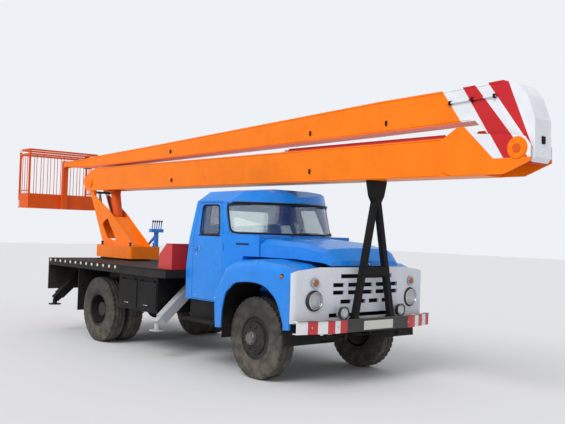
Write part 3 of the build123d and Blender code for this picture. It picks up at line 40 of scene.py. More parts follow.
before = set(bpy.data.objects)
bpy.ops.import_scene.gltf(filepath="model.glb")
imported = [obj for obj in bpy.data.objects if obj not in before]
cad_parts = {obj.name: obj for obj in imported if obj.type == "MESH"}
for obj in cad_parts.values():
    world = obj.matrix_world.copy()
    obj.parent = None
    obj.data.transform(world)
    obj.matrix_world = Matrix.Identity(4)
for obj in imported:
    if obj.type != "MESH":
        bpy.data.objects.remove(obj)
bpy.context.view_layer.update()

# Places that the solids give, in metres. X is "ahead": counted from the front axle, forwards.
FRONT_AXLE_X = 2.445
REAR_AXLE_X = FRONT_AXLE_X - 3.8
AXLE_Z = 0.508
TYRE_HALF_WIDTH = 0.13
SIDES = (("left", 1.0), ("right", -1.0))
WHEELS = (
    # body, CAD node of the tyre, axle X, Y of each tyre's middle, side
    ("wheel_front_left", "tyre_front_left", FRONT_AXLE_X, (0.900,), 1.0),
    ("wheel_front_right", "tyre_front_right", FRONT_AXLE_X, (-0.900,), -1.0),
    ("wheels_rear_left", "tyres_rear_left", REAR_AXLE_X, (0.740, 1.050), 1.0),
    ("wheels_rear_right", "tyres_rear_right", REAR_AXLE_X, (-0.740, -1.050), -1.0),
)


def ahead(distance):
    """X of a place that many metres ahead of the front axle."""
    return FRONT_AXLE_X + distance


def line(pairs, y, lift=0.0):
    """Points from (ahead, Z) pairs, all at one Y and raised by the lift."""
    return [(ahead(x), y, z + lift) for x, z in pairs]


ELBOW = (ahead(3.120), 2.755)
BOOM_PIVOT = (ahead(-6.120), 2.640)
BASKET_PIVOT = (ahead(-7.470), 3.045)
LIFT_FOOT = np.array((ahead(-5.250), 0, 1.570))
LIFT_EYE = np.array((ahead(-5.520), 0, 2.600))
DECK_TOP = 1.245
DECK_HALF = 1.200
DECK_REAR = -5.600
TURRET_BASE_TOP = 1.490
LOWER_HALF = 0.190
LOWER_BOTTOM, LOWER_TOP = 2.492, 2.915
UPPER_HALF = 0.150
BASKET_REAR, BASKET_FRONT, BASKET_HALF = -8.180, -7.680, 0.750

# Lines on the lorry, as (ahead, Z) pairs where nothing else is said
ARCH_BEAD = (
    (-0.508, 0.62), (-0.500, 0.80), (-0.430, 1.04), (-0.240, 1.178), (0.080, 1.213),
    (0.350, 1.178), (0.560, 1.04), (0.690, 0.80), (0.712, 0.71),
)
ARCH_LINER = (
    (-0.498, 0.46), (-0.478, 0.82), (-0.412, 1.026), (-0.232, 1.160), (0.080, 1.196),
    (0.342, 1.160), (0.545, 1.026), (0.672, 0.82), (0.706, 0.50),
)
LINER_SHEET = ((-0.003, -0.295), (0.003, -0.295), (0.003, 0.295), (-0.003, 0.295))  # (thick, wide)
GUTTER = ((-1.47, 2.215), (-1.2, 2.220), (-0.96, 2.218), (-0.88, 2.205))
DOOR_PANE = ((-1.290, 1.765), (-1.360, 2.165), (-0.985, 2.165), (-0.835, 1.765))
DOOR_SILL = ((-1.30, 1.752), (-0.82, 1.752))
DOOR_HINGE_X, DOOR_HINGE_Z = -0.735, (1.06, 1.56)
# the windows' corner radius, and the height of a black strip of painted shade under the roof's front edge
WINDOW_CORNER, VISOR_SHADE_Z = 0.07, 2.206
SCREEN_CORNERS = ((-0.905, 1.797), (0.905, 1.797), (0.898, 2.188), (-0.898, 2.188))  # (Y, Z)
REAR_WINDOW_X = -1.529
REAR_WINDOW_CORNERS = ((-0.42, 1.80), (0.42, 1.80), (0.42, 2.12), (-0.42, 2.12))  # (Y, Z)
BUMPER_TOP = 0.817
BUMPER_LIP = ((0.955, -1.160), (1.060, -0.70), (1.060, 0.70), (0.955, 1.160))  # (ahead, Y)
TOW_HOOK = ((0.90, 0.70), (1.02, 0.665), (1.046, 0.628), (1.035, 0.592), (0.985, 0.612))
BONNET_GRIP = ((0.876, -0.07), (0.905, -0.05), (0.905, 0.05), (0.876, 0.07))  # (ahead, Y)
UPPER_LOW_EDGE = ((-7.30, 2.996), (-6.60, 2.955), (-5.90, 2.950), (0.90, 3.050), (2.50, 3.084))
UPPER_HIGH_EDGE = (
    (-7.30, 3.097), (-6.60, 3.110), (-5.90, 3.150), (-4.10, 3.215), (1.17, 3.430), (2.10, 3.450), (2.86, 3.474),
)
LOWER_CLIPS = ((-3.29, 2.61), (0.02, 2.63))
UPPER_CLIPS = tuple(
    (x, float(np.interp(x, (-5.9, 0.9, 2.56), (2.950, 3.050, 3.085))) + 0.10) for x in (-3.41, -0.03, 1.30)
)
PIPE_Y, PIPE_CLIP_GAP = (0.075, 0.100), 0.95
UPPER_ROD, UPPER_ROD_Y = ((2.20, 3.300), (2.84, 3.322)), -0.168
UPPER_ROD_CLIPS = ((2.24, 3.301), (2.53, 3.312), (2.81, 3.321))
ELBOW_BOLT_CIRCLE, PIVOT_BOLT_CIRCLE = 0.084, 0.052
CORNER_PATCHES = ((2.165, 2.300, 0.075), (3.270, 3.338, 0.110))  # (bottom, top, width)
BASKET_FLOOR, BASKET_RAIL, CONTROL_BOX_TOP = 2.163, 2.50, 3.20
DECK_STUDS = 13
SLEW_X, SLEW_BOLTS, SLEW_BOLT_CIRCLE = -5.080, 24, 0.462
REAR_LEG_FACE, REAR_LEG_BOLTS = -4.467, (0.66, 0.90, 1.13)  # (ahead, then Y of each bolt)
REAR_LAMP_HEIGHTS = (1.115, 1.185)
LEVERS, LEVER_X, LEVER_Y, LEVER_GAP, LEVER_TOP, LEVER_LEAN = 5, -4.370, 0.142, 0.045, 1.930, 0.18
BASE_KNOB_X, BASE_KNOB_Y = (-5.48, -4.47), 0.235
BASE_BOLT_ENDS, BASE_BOLT_Y = (-5.54, -4.41), 0.282
HOSE_Y = (-0.115, -0.085, 0.085, 0.115)
LOCKER_FACE = 1.130
LOCKER_DOORS = ((-3.175, -2.66), (-2.63, -2.115))  # both ends, ahead
LOCKER_GRIP = ((-0.05, 0.010), (-0.04, 0.035), (0.04, 0.035), (0.05, 0.010))  # (along the door, out)
SPRING_BOLT = ((0.50, 0.42), (0.36, 0.42), (0.36, 0.70), (0.50, 0.70))  # (Y, Z)
EXHAUST = ((-0.32, -0.30, 0.95), (-0.55, -0.40, 0.66), (-1.2, -0.42, 0.60), (-1.55, -0.42, 0.60))

# Turned profiles, as (along the axis, radius) pairs
BORE_SIDES = 72
# Half of a tyre's outline, from the bead to the middle of the tread: (share of half width, radius)
HALF_TYRE = np.array([
    (0.80, 0.262), (0.90, 0.285), (0.97, 0.320), (1.0, 0.365), (0.99, 0.410), (0.95, 0.446), (0.88, 0.474),
    (0.84, 0.492), (0.78, 0.5055), (0.62, 0.5075), (0.46, 0.5078), (0.42, 0.5078), (0.26, 0.508), (0.10, 0.508),
    (0.06, 0.508),
])
TYRE = np.concatenate((HALF_TYRE * (-1, 1), HALF_TYRE[::-1]))
BEAD = np.array([(-0.80, 0.262), (-0.78, 0.254), (0.78, 0.254), (0.80, 0.262)])  # (share of half width, radius)
RIM_LIP = (
    (-0.012, 0.246), (-0.012, 0.262), (0.004, 0.270), (0.012, 0.268), (0.012, 0.252), (0.0, 0.246), (-0.012, 0.246),
)
RIM_LIP_OUT = 0.098
WHEEL_STUDS = 8
HUB_CAP_CIRCLE = 0.072
FRONT_HUB = {
    # face: out from the outer tyre's middle; turned: material, sides, profile; studs: circle, out; cap bolts: out
    "face": 0.103,
    "turned": (
        (0, 48, ((0.0, 0.0), (0.0, 0.205), (0.018, 0.198), (0.036, 0.150), (0.050, 0.105), (0.050, 0.0))),
        (1, 32, ((0.03, 0.0), (0.03, 0.088), (0.085, 0.082), (0.098, 0.070), (0.100, 0.0))),
    ),
    "studs": (0.145, 0.037),
    "cap": 0.10,
}
REAR_HUB = {
    "face": -0.128,
    "turned": (
        (1, 40, ((0.0, 0.0), (0.0, 0.165), (0.014, 0.158), (0.022, 0.120), (0.14, 0.098), (0.15, 0.088), (0.15, 0.0))),
    ),
    "studs": (0.140, 0.016),
    "cap": 0.148,
}
HEADLAMP, TURN_LAMP = (0.872, 0.850, 1.035), (0.872, 0.850, 1.245)
FOG_LAMP, SIDE_LAMP = (1.045, 0.505, 0.895), (0.640, 1.150, 1.30)
LAMP_FORMS = (
    # piece, way that it faces, place (ahead, Y, Z), sides, profile
    ("lamp_pots", "front", HEADLAMP, 48, (
        (-0.02, 0.122), (0.018, 0.124), (0.034, 0.117), (0.040, 0.104), (0.030, 0.096), (-0.02, 0.094),
        (-0.02, 0.122))),
    ("lamp_rims", "front", HEADLAMP, 48, (
        (0.030, 0.106), (0.043, 0.104), (0.046, 0.098), (0.040, 0.094), (0.030, 0.094), (0.030, 0.106))),
    ("lamp_glasses", "front", HEADLAMP, 40, (
        (0.012, 0.100), (0.030, 0.097), (0.044, 0.080), (0.054, 0.050), (0.058, 0.0), (0.0, 0.0), (0.012, 0.100))),
    ("lamp_pots", "front", TURN_LAMP, 32, (
        (-0.01, 0.056), (0.026, 0.057), (0.032, 0.050), (0.024, 0.046), (-0.01, 0.044), (-0.01, 0.056))),
    ("amber_lamps", "front", TURN_LAMP, 32, ((0.0, 0.0), (0.006, 0.048), (0.026, 0.047), (0.044, 0.034), (0.050, 0.0))),
    ("lamp_pots", "front", FOG_LAMP, 32, (
        (-0.075, 0.0), (-0.07, 0.04), (-0.04, 0.07), (0.004, 0.078), (0.010, 0.070), (0.002, 0.064),
        (-0.02, 0.060), (-0.02, 0.0))),
    ("lamp_glasses", "front", FOG_LAMP, 32, ((-0.01, 0.0), (-0.006, 0.064), (0.008, 0.050), (0.014, 0.0))),
    ("amber_lamps", "side", SIDE_LAMP, 20, (
        (-0.012, 0.0), (-0.012, 0.030), (0.012, 0.030), (0.026, 0.018), (0.030, 0.0))),
    ("lamp_pots", "side", SIDE_LAMP, 20, (
        (-0.012, 0.0), (-0.012, 0.042), (0.004, 0.042), (0.008, 0.034), (0.008, 0.0))),
)
LAMP_PIECES = (
    # piece, finish, material slot of the record
    ("lamp_rims", "chrome", None), ("lamp_pots", "trim", None),
    ("lamp_glasses", "clear", "lens"), ("amber_lamps", "amber", "lens"),
)
WIPER_FOOT = ((0, 0), (0, 0.017), (0.012, 0.017), (0.02, 0.010), (0.022, 0.0))
DOOR_HINGE = ((0, 0), (0, 0.012), (0.085, 0.012), (0.085, 0))
KEY_ROUND = ((0, 0), (0, 0.013), (0.005, 0.013), (0.007, 0.008), (0.007, 0))
HANDLE_ROUND = ((0, 0), (0, 0.022), (0.004, 0.022), (0.008, 0.014), (0.008, 0))
PIVOT_CAP = ((0, 0.0), (0, 0.062), (0.006, 0.062), (0.010, 0.058), (0.010, 0.044), (0.004, 0.040), (0.004, 0.0))
GLAND = (
    (-0.045, 0.087), (-0.045, 0.096), (0.0, 0.096), (0.008, 0.090), (0.008, 0.052), (0.014, 0.050),
    (0.014, 0.040), (-0.045, 0.040), (-0.045, 0.087),
)
OIL_PORT = ((0, 0), (0, 0.022), (0.02, 0.022), (0.024, 0.016), (0.05, 0.016), (0.05, 0))
BARREL_BAND = ((0, 0.085), (0, 0.090), (0.02, 0.090), (0.02, 0.085))
SWITCH_KNOB = ((0, 0), (0.004, 0.011), (0.014, 0.013), (0.024, 0.009), (0.027, 0))
BASKET_PIN = ((0, 0), (0, 0.040), (0.008, 0.040), (0.012, 0.034), (0.012, 0))
EDGE_STUD = ((0, 0), (0, 0.027), (0.004, 0.026), (0.007, 0.018), (0.008, 0.0))
LOCKER_HINGE = ((0, 0), (0, 0.011), (0.07, 0.011), (0.07, 0))
LEVER_KNOB = ((-0.012, 0.0), (-0.010, 0.010), (0.0, 0.016), (0.014, 0.017), (0.026, 0.011), (0.030, 0.0))
BASE_KNOB = (
    (0, 0), (0, 0.028), (0.012, 0.028), (0.016, 0.018), (0.045, 0.018), (0.050, 0.026), (0.062, 0.026),
    (0.068, 0.018), (0.068, 0),
)
SILENCER = ((0, 0), (0, 0.10), (0.015, 0.115), (0.50, 0.115), (0.515, 0.10), (0.515, 0))


# Surfaces


class Shell:
    """Gathers grids of points into one mesh, each grid with the number of its material."""

    def __init__(self):
        self.points = []
        self.quads = []
        self.marks = []
        self.count = 0

    def grid(self, points, close_u=False, close_v=False, mark=0):
        """Adds rows along u and columns along v; a closed direction joins its last line to its first."""
        rows, columns = points.shape[:2]
        index = self.count + np.arange(rows * columns).reshape(rows, columns)
        if close_u:
            index = np.concatenate((index, index[:1]), axis=0)
        if close_v:
            index = np.concatenate((index, index[:, :1]), axis=1)
        quads = np.stack((index[:-1, :-1], index[1:, :-1], index[1:, 1:], index[:-1, 1:]), axis=-1).reshape(-1, 4)
        self.points.append(points.reshape(-1, 3))
        self.quads.append(quads)
        self.marks.append(np.full(len(quads), mark))
        self.count += rows * columns

    def turned(self, profile, centre, axis, sides, mark=0):
        """Adds a profile turned about an axis."""
        self.grid(lathe(profile, centre, axis, sides), close_v=True, mark=mark)

    def carried(self, outline, path, up=(0, 0, 1), loop=False):
        """Adds an outline carried along a path, which a loop closes on itself."""
        self.grid(carry(outline, path, up, loop), close_u=loop, close_v=True)

    def block(self, forward, y, z, soft):
        """Adds an eased block between two places ahead, two Y in either order and two Z."""
        low, high = zip((ahead(forward[0]), ahead(forward[1])), sorted(y), z)
        self.grid(slab(low, high, soft), close_v=True)

    def build(self, name, body, finishes, slot=None, sharp=35.0):
        """Makes the object, merges its doubles, turns its faces outwards and hangs it on a body."""
        points = np.concatenate(self.points)
        quads = np.concatenate(self.quads)
        mesh = bpy.data.meshes.new(name)
        mesh.vertices.add(len(points))
        mesh.vertices.foreach_set("co", points.ravel())
        mesh.loops.add(quads.size)
        mesh.loops.foreach_set("vertex_index", quads.ravel())
        mesh.polygons.add(len(quads))
        mesh.polygons.foreach_set("loop_start", np.arange(len(quads)) * 4)
        mesh.polygons.foreach_set("material_index", np.concatenate(self.marks))
        mesh.update(calc_edges=True)
        work = bmesh.new()
        work.from_mesh(mesh)
        bmesh.ops.remove_doubles(work, verts=work.verts, dist=1e-5)
        bmesh.ops.dissolve_degenerate(work, edges=work.edges, dist=1e-6)
        bmesh.ops.recalc_face_normals(work, faces=work.faces)
        work.to_mesh(mesh)
        work.free()
        mesh.shade_smooth()
        mesh.set_sharp_from_angle(angle=math.radians(sharp))
        piece = bpy.data.objects.new(name, mesh)
        bpy.context.collection.objects.link(piece)
        for finish in finishes if isinstance(finishes, (list, tuple)) else [finishes]:
            mesh.materials.append(finish)
        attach(piece, body)
        return piece


def unit(vectors):
    """Vectors cut to length one."""
    return vectors / np.linalg.norm(vectors, axis=-1, keepdims=True)


def lathe(profile, centre, axis, sides):
    """(along, radius) pairs turned about an axis: centre + along * axis + radius * (cos t * u + sin t * v)."""
    profile = np.asarray(profile, float)
    axis = unit(np.asarray(axis, float))
    helper = np.array((0.0, 0.0, 1.0)) if abs(axis[2]) < 0.9 else np.array((1.0, 0.0, 0.0))
    u = unit(np.cross(helper, axis))
    v = np.cross(axis, u)
    t = np.linspace(0, 2 * math.pi, sides, endpoint=False)
    around = np.cos(t)[:, None] * u + np.sin(t)[:, None] * v
    return np.asarray(centre, float) + profile[:, :1, None] * axis + profile[:, 1:, None] * around[None]


def carry(outline, path, up, loop):
    """A closed outline of (across, high) pairs along a path: point + across * side + high * up, square to it.

    An open path is closed at both ends by the middle of its outline.
    """
    path = np.asarray(path, float)
    outline = np.asarray(outline, float)
    if loop:
        along = unit(np.roll(path, -1, axis=0) - np.roll(path, 1, axis=0))
    else:
        along = unit(np.gradient(path, axis=0))
    side = unit(np.cross(along, np.asarray(up, float)))
    high = np.cross(side, along)
    rows = path[:, None] + outline[None, :, :1] * side[:, None] + outline[None, :, 1:] * high[:, None]
    if loop:
        return rows
    first = np.repeat(rows[:1].mean(axis=1, keepdims=True), rows.shape[1], axis=1)
    last = np.repeat(rows[-1:].mean(axis=1, keepdims=True), rows.shape[1], axis=1)
    return np.concatenate((first, rows, last), axis=0)


def ring(radius, sides, high=None):
    """A round or oval outline: (radius * cos t, high * sin t)."""
    t = np.linspace(0, 2 * math.pi, sides, endpoint=False)
    return np.stack((radius * np.cos(t), (high or radius) * np.sin(t)), axis=1)


def bend(points, steps):
    """A smooth line through the points: a Catmull-Rom curve worked out for every span at once."""
    p = np.asarray(points, float)
    p = np.concatenate((2 * p[:1] - p[1:2], p, 2 * p[-1:] - p[-2:-1]))
    t = np.linspace(0, 1, steps, endpoint=False)[None, :, None]
    a, b, c, d = p[:-3, None], p[1:-2, None], p[2:-1, None], p[3:, None]
    curve = 0.5 * (2 * b + (c - a) * t + (2 * a - 5 * b + 4 * c - d) * t**2 + (3 * b - a - 3 * c + d) * t**3)
    return np.concatenate((curve.reshape(-1, 3), p[-2:-1]))


def rounded(points, radius, steps=6):
    """A closed line with eased corners: (1-t)^2 * before + 2t(1-t) * corner + t^2 * after, at each corner."""
    p = np.asarray(points, float)
    before = p + unit(np.roll(p, 1, axis=0) - p) * radius
    after = p + unit(np.roll(p, -1, axis=0) - p) * radius
    t = np.linspace(0, 1, steps)[None, :, None]
    return ((1 - t) ** 2 * before[:, None] + 2 * t * (1 - t) * p[:, None] + t**2 * after[:, None]).reshape(-1, 3)


def spread(points, step=0.05):
    """A closed line cut into short runs: points at even shares of each run."""
    p = np.asarray(points, float)
    following = np.roll(p, -1, axis=0)
    counts = np.maximum(1, np.ceil(np.linalg.norm(following - p, axis=1) / step).astype(int))
    share = np.concatenate([np.arange(n) / n for n in counts])[:, None]
    return np.repeat(p, counts, axis=0) * (1 - share) + np.repeat(following, counts, axis=0) * share


def round_places(centre, radius, count, shift=0.0):
    """Places on an upright circle across the lorry's length: centre + radius * (cos t, 0, sin t)."""
    t = 2 * math.pi * (np.arange(count) + shift) / count
    return np.asarray(centre, float) + radius * np.column_stack((np.cos(t), np.zeros(count), np.sin(t)))


def slab(low, high, soft):
    """A block with eased edges: four rings round it, drawn in at both ends by the easing."""
    low, high = np.asarray(low, float), np.asarray(high, float)
    s = min(soft, 0.49 * float(np.min(high - low)))
    (x0, y0, z0), (x1, y1, z1) = low, high
    corners = np.array([
        (x0 + s, y0), (x1 - s, y0), (x1, y0 + s), (x1, y1 - s), (x1 - s, y1), (x0 + s, y1), (x0, y1 - s), (x0, y0 + s),
    ])
    centre = (corners.min(axis=0) + corners.max(axis=0)) / 2
    inner = centre + (corners - centre) * (1 - 2 * s / (corners.max(axis=0) - corners.min(axis=0)))
    point = inner * 0 + centre
    levels = ((point, z0), (inner, z0), (corners, z0 + s), (corners, z1 - s), (inner, z1), (point, z1))
    return np.stack([np.column_stack((outline, np.full(len(outline), z))) for outline, z in levels])


def stroke(start, end, radius, sides):
    """A round bar between two points with eased ends."""
    start, end = np.asarray(start, float), np.asarray(end, float)
    length = float(np.linalg.norm(end - start))
    ease = min(0.15 * radius, length * 0.3)
    half = [(0, 0), (0, radius - ease), (ease, radius)]
    profile = half + [(length - along, high) for along, high in reversed(half)]
    return lathe(profile, start, end - start, sides)


def gusset(x, y, toward):
    """A flat triangle in a top corner: its outline moved to both faces, and each face closed at its middle."""
    flat = np.array([(x, y, 3.235), (x + toward * 0.11, y, 3.235), (x, y, 3.10)])
    middle = np.repeat(flat.mean(axis=0, keepdims=True), 3, axis=0)
    faces = np.array((-0.004, -0.004, 0.004, 0.004))
    return np.stack((middle, flat, flat, middle)) + faces[:, None, None] * np.array((0, 1, 0))


def bolt(shell, spot, axis, size, mark=0):
    """A six-sided head on a washer, standing on its spot."""
    washer = [(0, 0), (0, size * 1.25), (size * 0.2, size * 1.25), (size * 0.2, size * 0.9)]
    head = [(size * 0.15, 0), (size * 0.2, size), (size * 0.75, size), (size * 0.95, size * 0.8), (size * 0.95, 0)]
    shell.turned(washer, spot, axis, 12, mark=mark)
    shell.turned(head, spot, axis, 6, mark=mark)


def cab_side(z):
    """Half width of the cab at a height: two straight runs, wider up to the belt line and drawn in above it."""
    return np.interp(z, (0.870, 1.700, 2.215), (0.985, 1.000, 0.880))


def screen_x(y, z):
    """The windscreen's face: an arc in plan, sqrt(r^2 - y^2), raked back with height."""
    return ahead(-1.2832 + np.sqrt(1.0782**2 - np.asarray(y) ** 2) - 0.295 * (np.asarray(z) - 1.772))


def tyre_surface(x, y, depth, blocks):
    """A tyre's skin, turned about its axle: radius(profile) - depth * groove(angle, across).

    The grooves are leaning bars on the shoulders, and channels round the tread.
    """
    across, radius = TYRE[:, :1], TYRE[:, 1:]
    reach = np.abs(across)
    steps = blocks * 8
    t = np.arange(steps) / steps * 2 * math.pi
    phase = (t[None, :] * blocks / (2 * math.pi) + 0.35 * reach) % 1.0
    bar = np.abs(phase - 0.5) < 0.14
    shoulder = (reach > 0.45) & (reach < 0.9) & (radius > 0.47)
    channel = np.isin(np.round(reach, 2), (0.42, 0.46, 0.06)) * 0.9
    r = radius - depth * np.maximum((bar & shoulder).astype(float), channel)
    steady = np.broadcast_to(across * TYRE_HALF_WIDTH + y, r.shape)
    return np.stack((x + r * np.sin(t)[None], steady, AXLE_Z - r * np.cos(t)[None]), axis=-1)


# Finishes


def tone(red, green, blue):
    """A colour from screen values of 0 to 255."""
    value = np.array((red, green, blue)) / 255.0
    linear = np.where(value <= 0.04045, value / 12.92, ((value + 0.055) / 1.055) ** 2.4)
    return (*[float(v) for v in linear], 1.0)


def place(tree, kind, sockets=(), **settings):
    """Adds a node, sets it, and fills its sockets with values or links."""
    node = tree.nodes.new(kind)
    for key, value in settings.items():
        setattr(node, key, value)
    for key, value in dict(sockets).items():
        if isinstance(value, bpy.types.NodeSocket):
            tree.links.new(value, node.inputs[key])
        else:
            node.inputs[key].default_value = value
    return node


def maths(tree, operation, *values, clamp=False):
    """A Math node's result, from values or links in the order of its sockets."""
    return place(tree, "ShaderNodeMath", enumerate(values), operation=operation, use_clamp=clamp).outputs[0]


def remap(tree, value, before=(0.0, 1.0), after=(0.0, 1.0)):
    """A Map Range node's result: the run before stretched to the run after."""
    keys = ("From Min", "From Max", "To Min", "To Max")
    return place(tree, "ShaderNodeMapRange", {"Value": value, **dict(zip(keys, (*before, *after)))}).outputs["Result"]


def mixed(tree, factor, first, second, **settings):
    """A Mix node's colour."""
    sockets = {"Factor": factor, 6: first, 7: second}
    return place(tree, "ShaderNodeMix", sockets, data_type="RGBA", **settings).outputs[2]


def noise(tree, where, scale, detail, rough=0.5):
    """A Noise Texture's value."""
    sockets = {"Vector": where, "Scale": scale, "Detail": detail, "Roughness": rough}
    return place(tree, "ShaderNodeTexNoise", sockets).outputs["Fac"]


def object_place(tree):
    """Object coordinates, whole and as separate values."""
    where = place(tree, "ShaderNodeTexCoord").outputs["Object"]
    return where, place(tree, "ShaderNodeSeparateXYZ", {"Vector": where}).outputs


COLOUR, NUMBER = "NodeSocketColor", "NodeSocketFloat"


def new_group(name, inputs, outputs):
    """A shader node group with named sockets: (name, kind, default) in, (name, kind) out."""
    tree = bpy.data.node_groups.new(name, "ShaderNodeTree")
    for label, kind, value in inputs:
        tree.interface.new_socket(label, in_out="INPUT", socket_type=kind).default_value = value
    for label, kind in outputs:
        tree.interface.new_socket(label, in_out="OUTPUT", socket_type=kind)
    return tree, tree.nodes.new("NodeGroupInput").outputs, tree.nodes.new("NodeGroupOutput").inputs


def grime_group():
    """Road dirt that is thickest low down, patchy by noise, over a slightly uneven colour."""
    tree, given, put = new_group(
        "Road Grime",
        [
            ("Colour", COLOUR, (0.5, 0.5, 0.5, 1)), ("Dirt", COLOUR, tone(112, 104, 92)), ("Amount", NUMBER, 0.5),
            ("Reach", NUMBER, 1.2), ("Scale", NUMBER, 3.0), ("Gloss", NUMBER, 0.35),
        ],
        [("Colour", COLOUR), ("Roughness", NUMBER), ("Height", NUMBER)],
    )
    where, xyz = object_place(tree)
    patches = noise(tree, where, given["Scale"], 9.0, 0.62)
    fine = noise(tree, where, 95.0, 4.0, 0.6)
    patchy = remap(tree, remap(tree, patches, (0.42, 0.72)), after=(0.35, 1.15))
    low = maths(tree, "POWER", remap(tree, xyz["Z"], (given["Reach"], 0.15)), 1.4)
    dirt = maths(tree, "MULTIPLY", maths(tree, "ADD", low, 0.16), patchy)
    dirt = maths(tree, "MULTIPLY", dirt, given["Amount"], clamp=True)
    shade = remap(tree, patches, (0.3, 0.7), (0.9, 1.08))
    uneven = mixed(tree, 1.0, given["Colour"], shade, blend_type="MULTIPLY")
    rough = remap(tree, dirt, after=(given["Gloss"], 0.9))
    rough = maths(tree, "ADD", rough, remap(tree, fine, after=(-0.04, 0.06)), clamp=True)
    tree.links.new(mixed(tree, dirt, uneven, given["Dirt"]), put["Colour"])
    tree.links.new(rough, put["Roughness"])
    tree.links.new(maths(tree, "MULTIPLY", fine, dirt), put["Height"])


def chip_group():
    """Small chips and rust spots: noise cut at a high level, with a soft rim."""
    tree, given, put = new_group(
        "Chips And Rust",
        [
            ("Colour", COLOUR, (0.5, 0.5, 0.5, 1)), ("Rust", COLOUR, tone(96, 52, 30)),
            ("Amount", NUMBER, 0.3), ("Scale", NUMBER, 14.0),
        ],
        [("Colour", COLOUR), ("Mask", NUMBER)],
    )
    where, _ = object_place(tree)
    gate = remap(tree, noise(tree, where, 1.3, 3.0), (0.42, 0.66))
    level = remap(tree, noise(tree, where, given["Scale"], 10.0, 0.7), (0.62, 0.66))
    mask = maths(tree, "MULTIPLY", maths(tree, "MULTIPLY", gate, level), given["Amount"], clamp=True)
    tree.links.new(mixed(tree, mask, given["Colour"], given["Rust"]), put["Colour"])
    tree.links.new(mask, put["Mask"])


def edge_paint(tree, colour, edges):
    """Colours past slanting lines: where x + slope * z is beyond a line's value, its colour takes over."""
    _, xyz = object_place(tree)
    for axis, slope, value, beyond in edges:
        lean = maths(tree, "MULTIPLY_ADD", xyz["Z"], slope, xyz[axis])
        colour = mixed(tree, maths(tree, "GREATER_THAN", lean, value), colour, beyond)
    return colour


def boss_paint(tree, colour, inside, arm_top, radius):
    """The inside colour on the cheek's low arm and round the elbow's pin: sqrt(dx^2 + dz^2) < radius."""
    _, xyz = object_place(tree)
    across = maths(tree, "SUBTRACT", xyz["X"], ELBOW[0])
    high = maths(tree, "SUBTRACT", xyz["Z"], ELBOW[1])
    spot = place(tree, "ShaderNodeCombineXYZ", {"X": across, "Z": high}).outputs[0]
    far = place(tree, "ShaderNodeVectorMath", {0: spot}, operation="LENGTH").outputs["Value"]
    near, low = maths(tree, "LESS_THAN", far, radius), maths(tree, "LESS_THAN", xyz["Z"], arm_top)
    return mixed(tree, maths(tree, "MAXIMUM", near, low), colour, inside)


def new_finish(name):
    """A material with its tree and its Principled shader's sockets."""
    finish = bpy.data.materials.new(name)
    finish.use_nodes = True
    return finish, finish.node_tree, finish.node_tree.nodes["Principled BSDF"].inputs


def painted(name, colour, bands, boss, gloss, dirt, reach, rust, coat, shine, scale, metal):
    """Weathered paint: colour or bands, then chips, then road dirt, over a light orange peel."""
    finish, tree, shader = new_finish(name)
    base = edge_paint(tree, colour, bands) if bands else colour
    if boss:
        base = boss_paint(tree, base, colour, *boss)
    groups = bpy.data.node_groups
    chips = place(tree, "ShaderNodeGroup", node_tree=groups["Chips And Rust"])
    grime = place(tree, "ShaderNodeGroup", node_tree=groups["Road Grime"])
    if bands:
        tree.links.new(base, chips.inputs["Colour"])
    else:
        chips.inputs["Colour"].default_value = base
    chips.inputs["Amount"].default_value = rust
    tree.links.new(chips.outputs["Colour"], grime.inputs["Colour"])
    for key, value in (("Amount", dirt), ("Reach", reach), ("Gloss", gloss), ("Scale", scale)):
        grime.inputs[key].default_value = value
    tree.links.new(grime.outputs["Colour"], shader["Base Color"])
    tree.links.new(grime.outputs["Roughness"], shader["Roughness"])
    peel = {"Height": grime.outputs["Height"], "Strength": 0.35, "Distance": 0.002}
    tree.links.new(place(tree, "ShaderNodeBump", peel).outputs["Normal"], shader["Normal"])
    shader["Metallic"].default_value = metal
    shader["Specular IOR Level"].default_value = shine
    shader["Coat Weight"].default_value = coat
    shader["Coat Roughness"].default_value = 0.12
    return finish


def clear_glass(name):
    """Thin tinted window glass."""
    finish, _, shader = new_finish(name)
    shader["Base Color"].default_value = (0.8, 0.9, 0.9, 1)
    shader["Roughness"].default_value = 0.04
    shader["IOR"].default_value = 1.45
    shader["Transmission Weight"].default_value = 1.0
    shader["Alpha"].default_value = 0.55
    return finish


def lens(name, colour, metal):
    """Ribbed coloured lens plastic: fine vertical flutes in the bump."""
    finish, tree, shader = new_finish(name)
    where, _ = object_place(tree)
    waves = {"Vector": where, "Scale": 22.0, "Distortion": 0.3}
    flutes = place(tree, "ShaderNodeTexWave", waves, bands_direction="Y").outputs["Fac"]
    ribs = place(tree, "ShaderNodeBump", {"Height": flutes, "Strength": 0.5, "Distance": 0.003})
    tree.links.new(ribs.outputs["Normal"], shader["Normal"])
    darker = tuple(0.75 * c for c in colour[:3]) + (1,)
    tree.links.new(mixed(tree, flutes, colour, darker), shader["Base Color"])
    shader["Roughness"].default_value = 0.12
    shader["Metallic"].default_value = metal
    shader["Coat Weight"].default_value = 0.6
    return finish


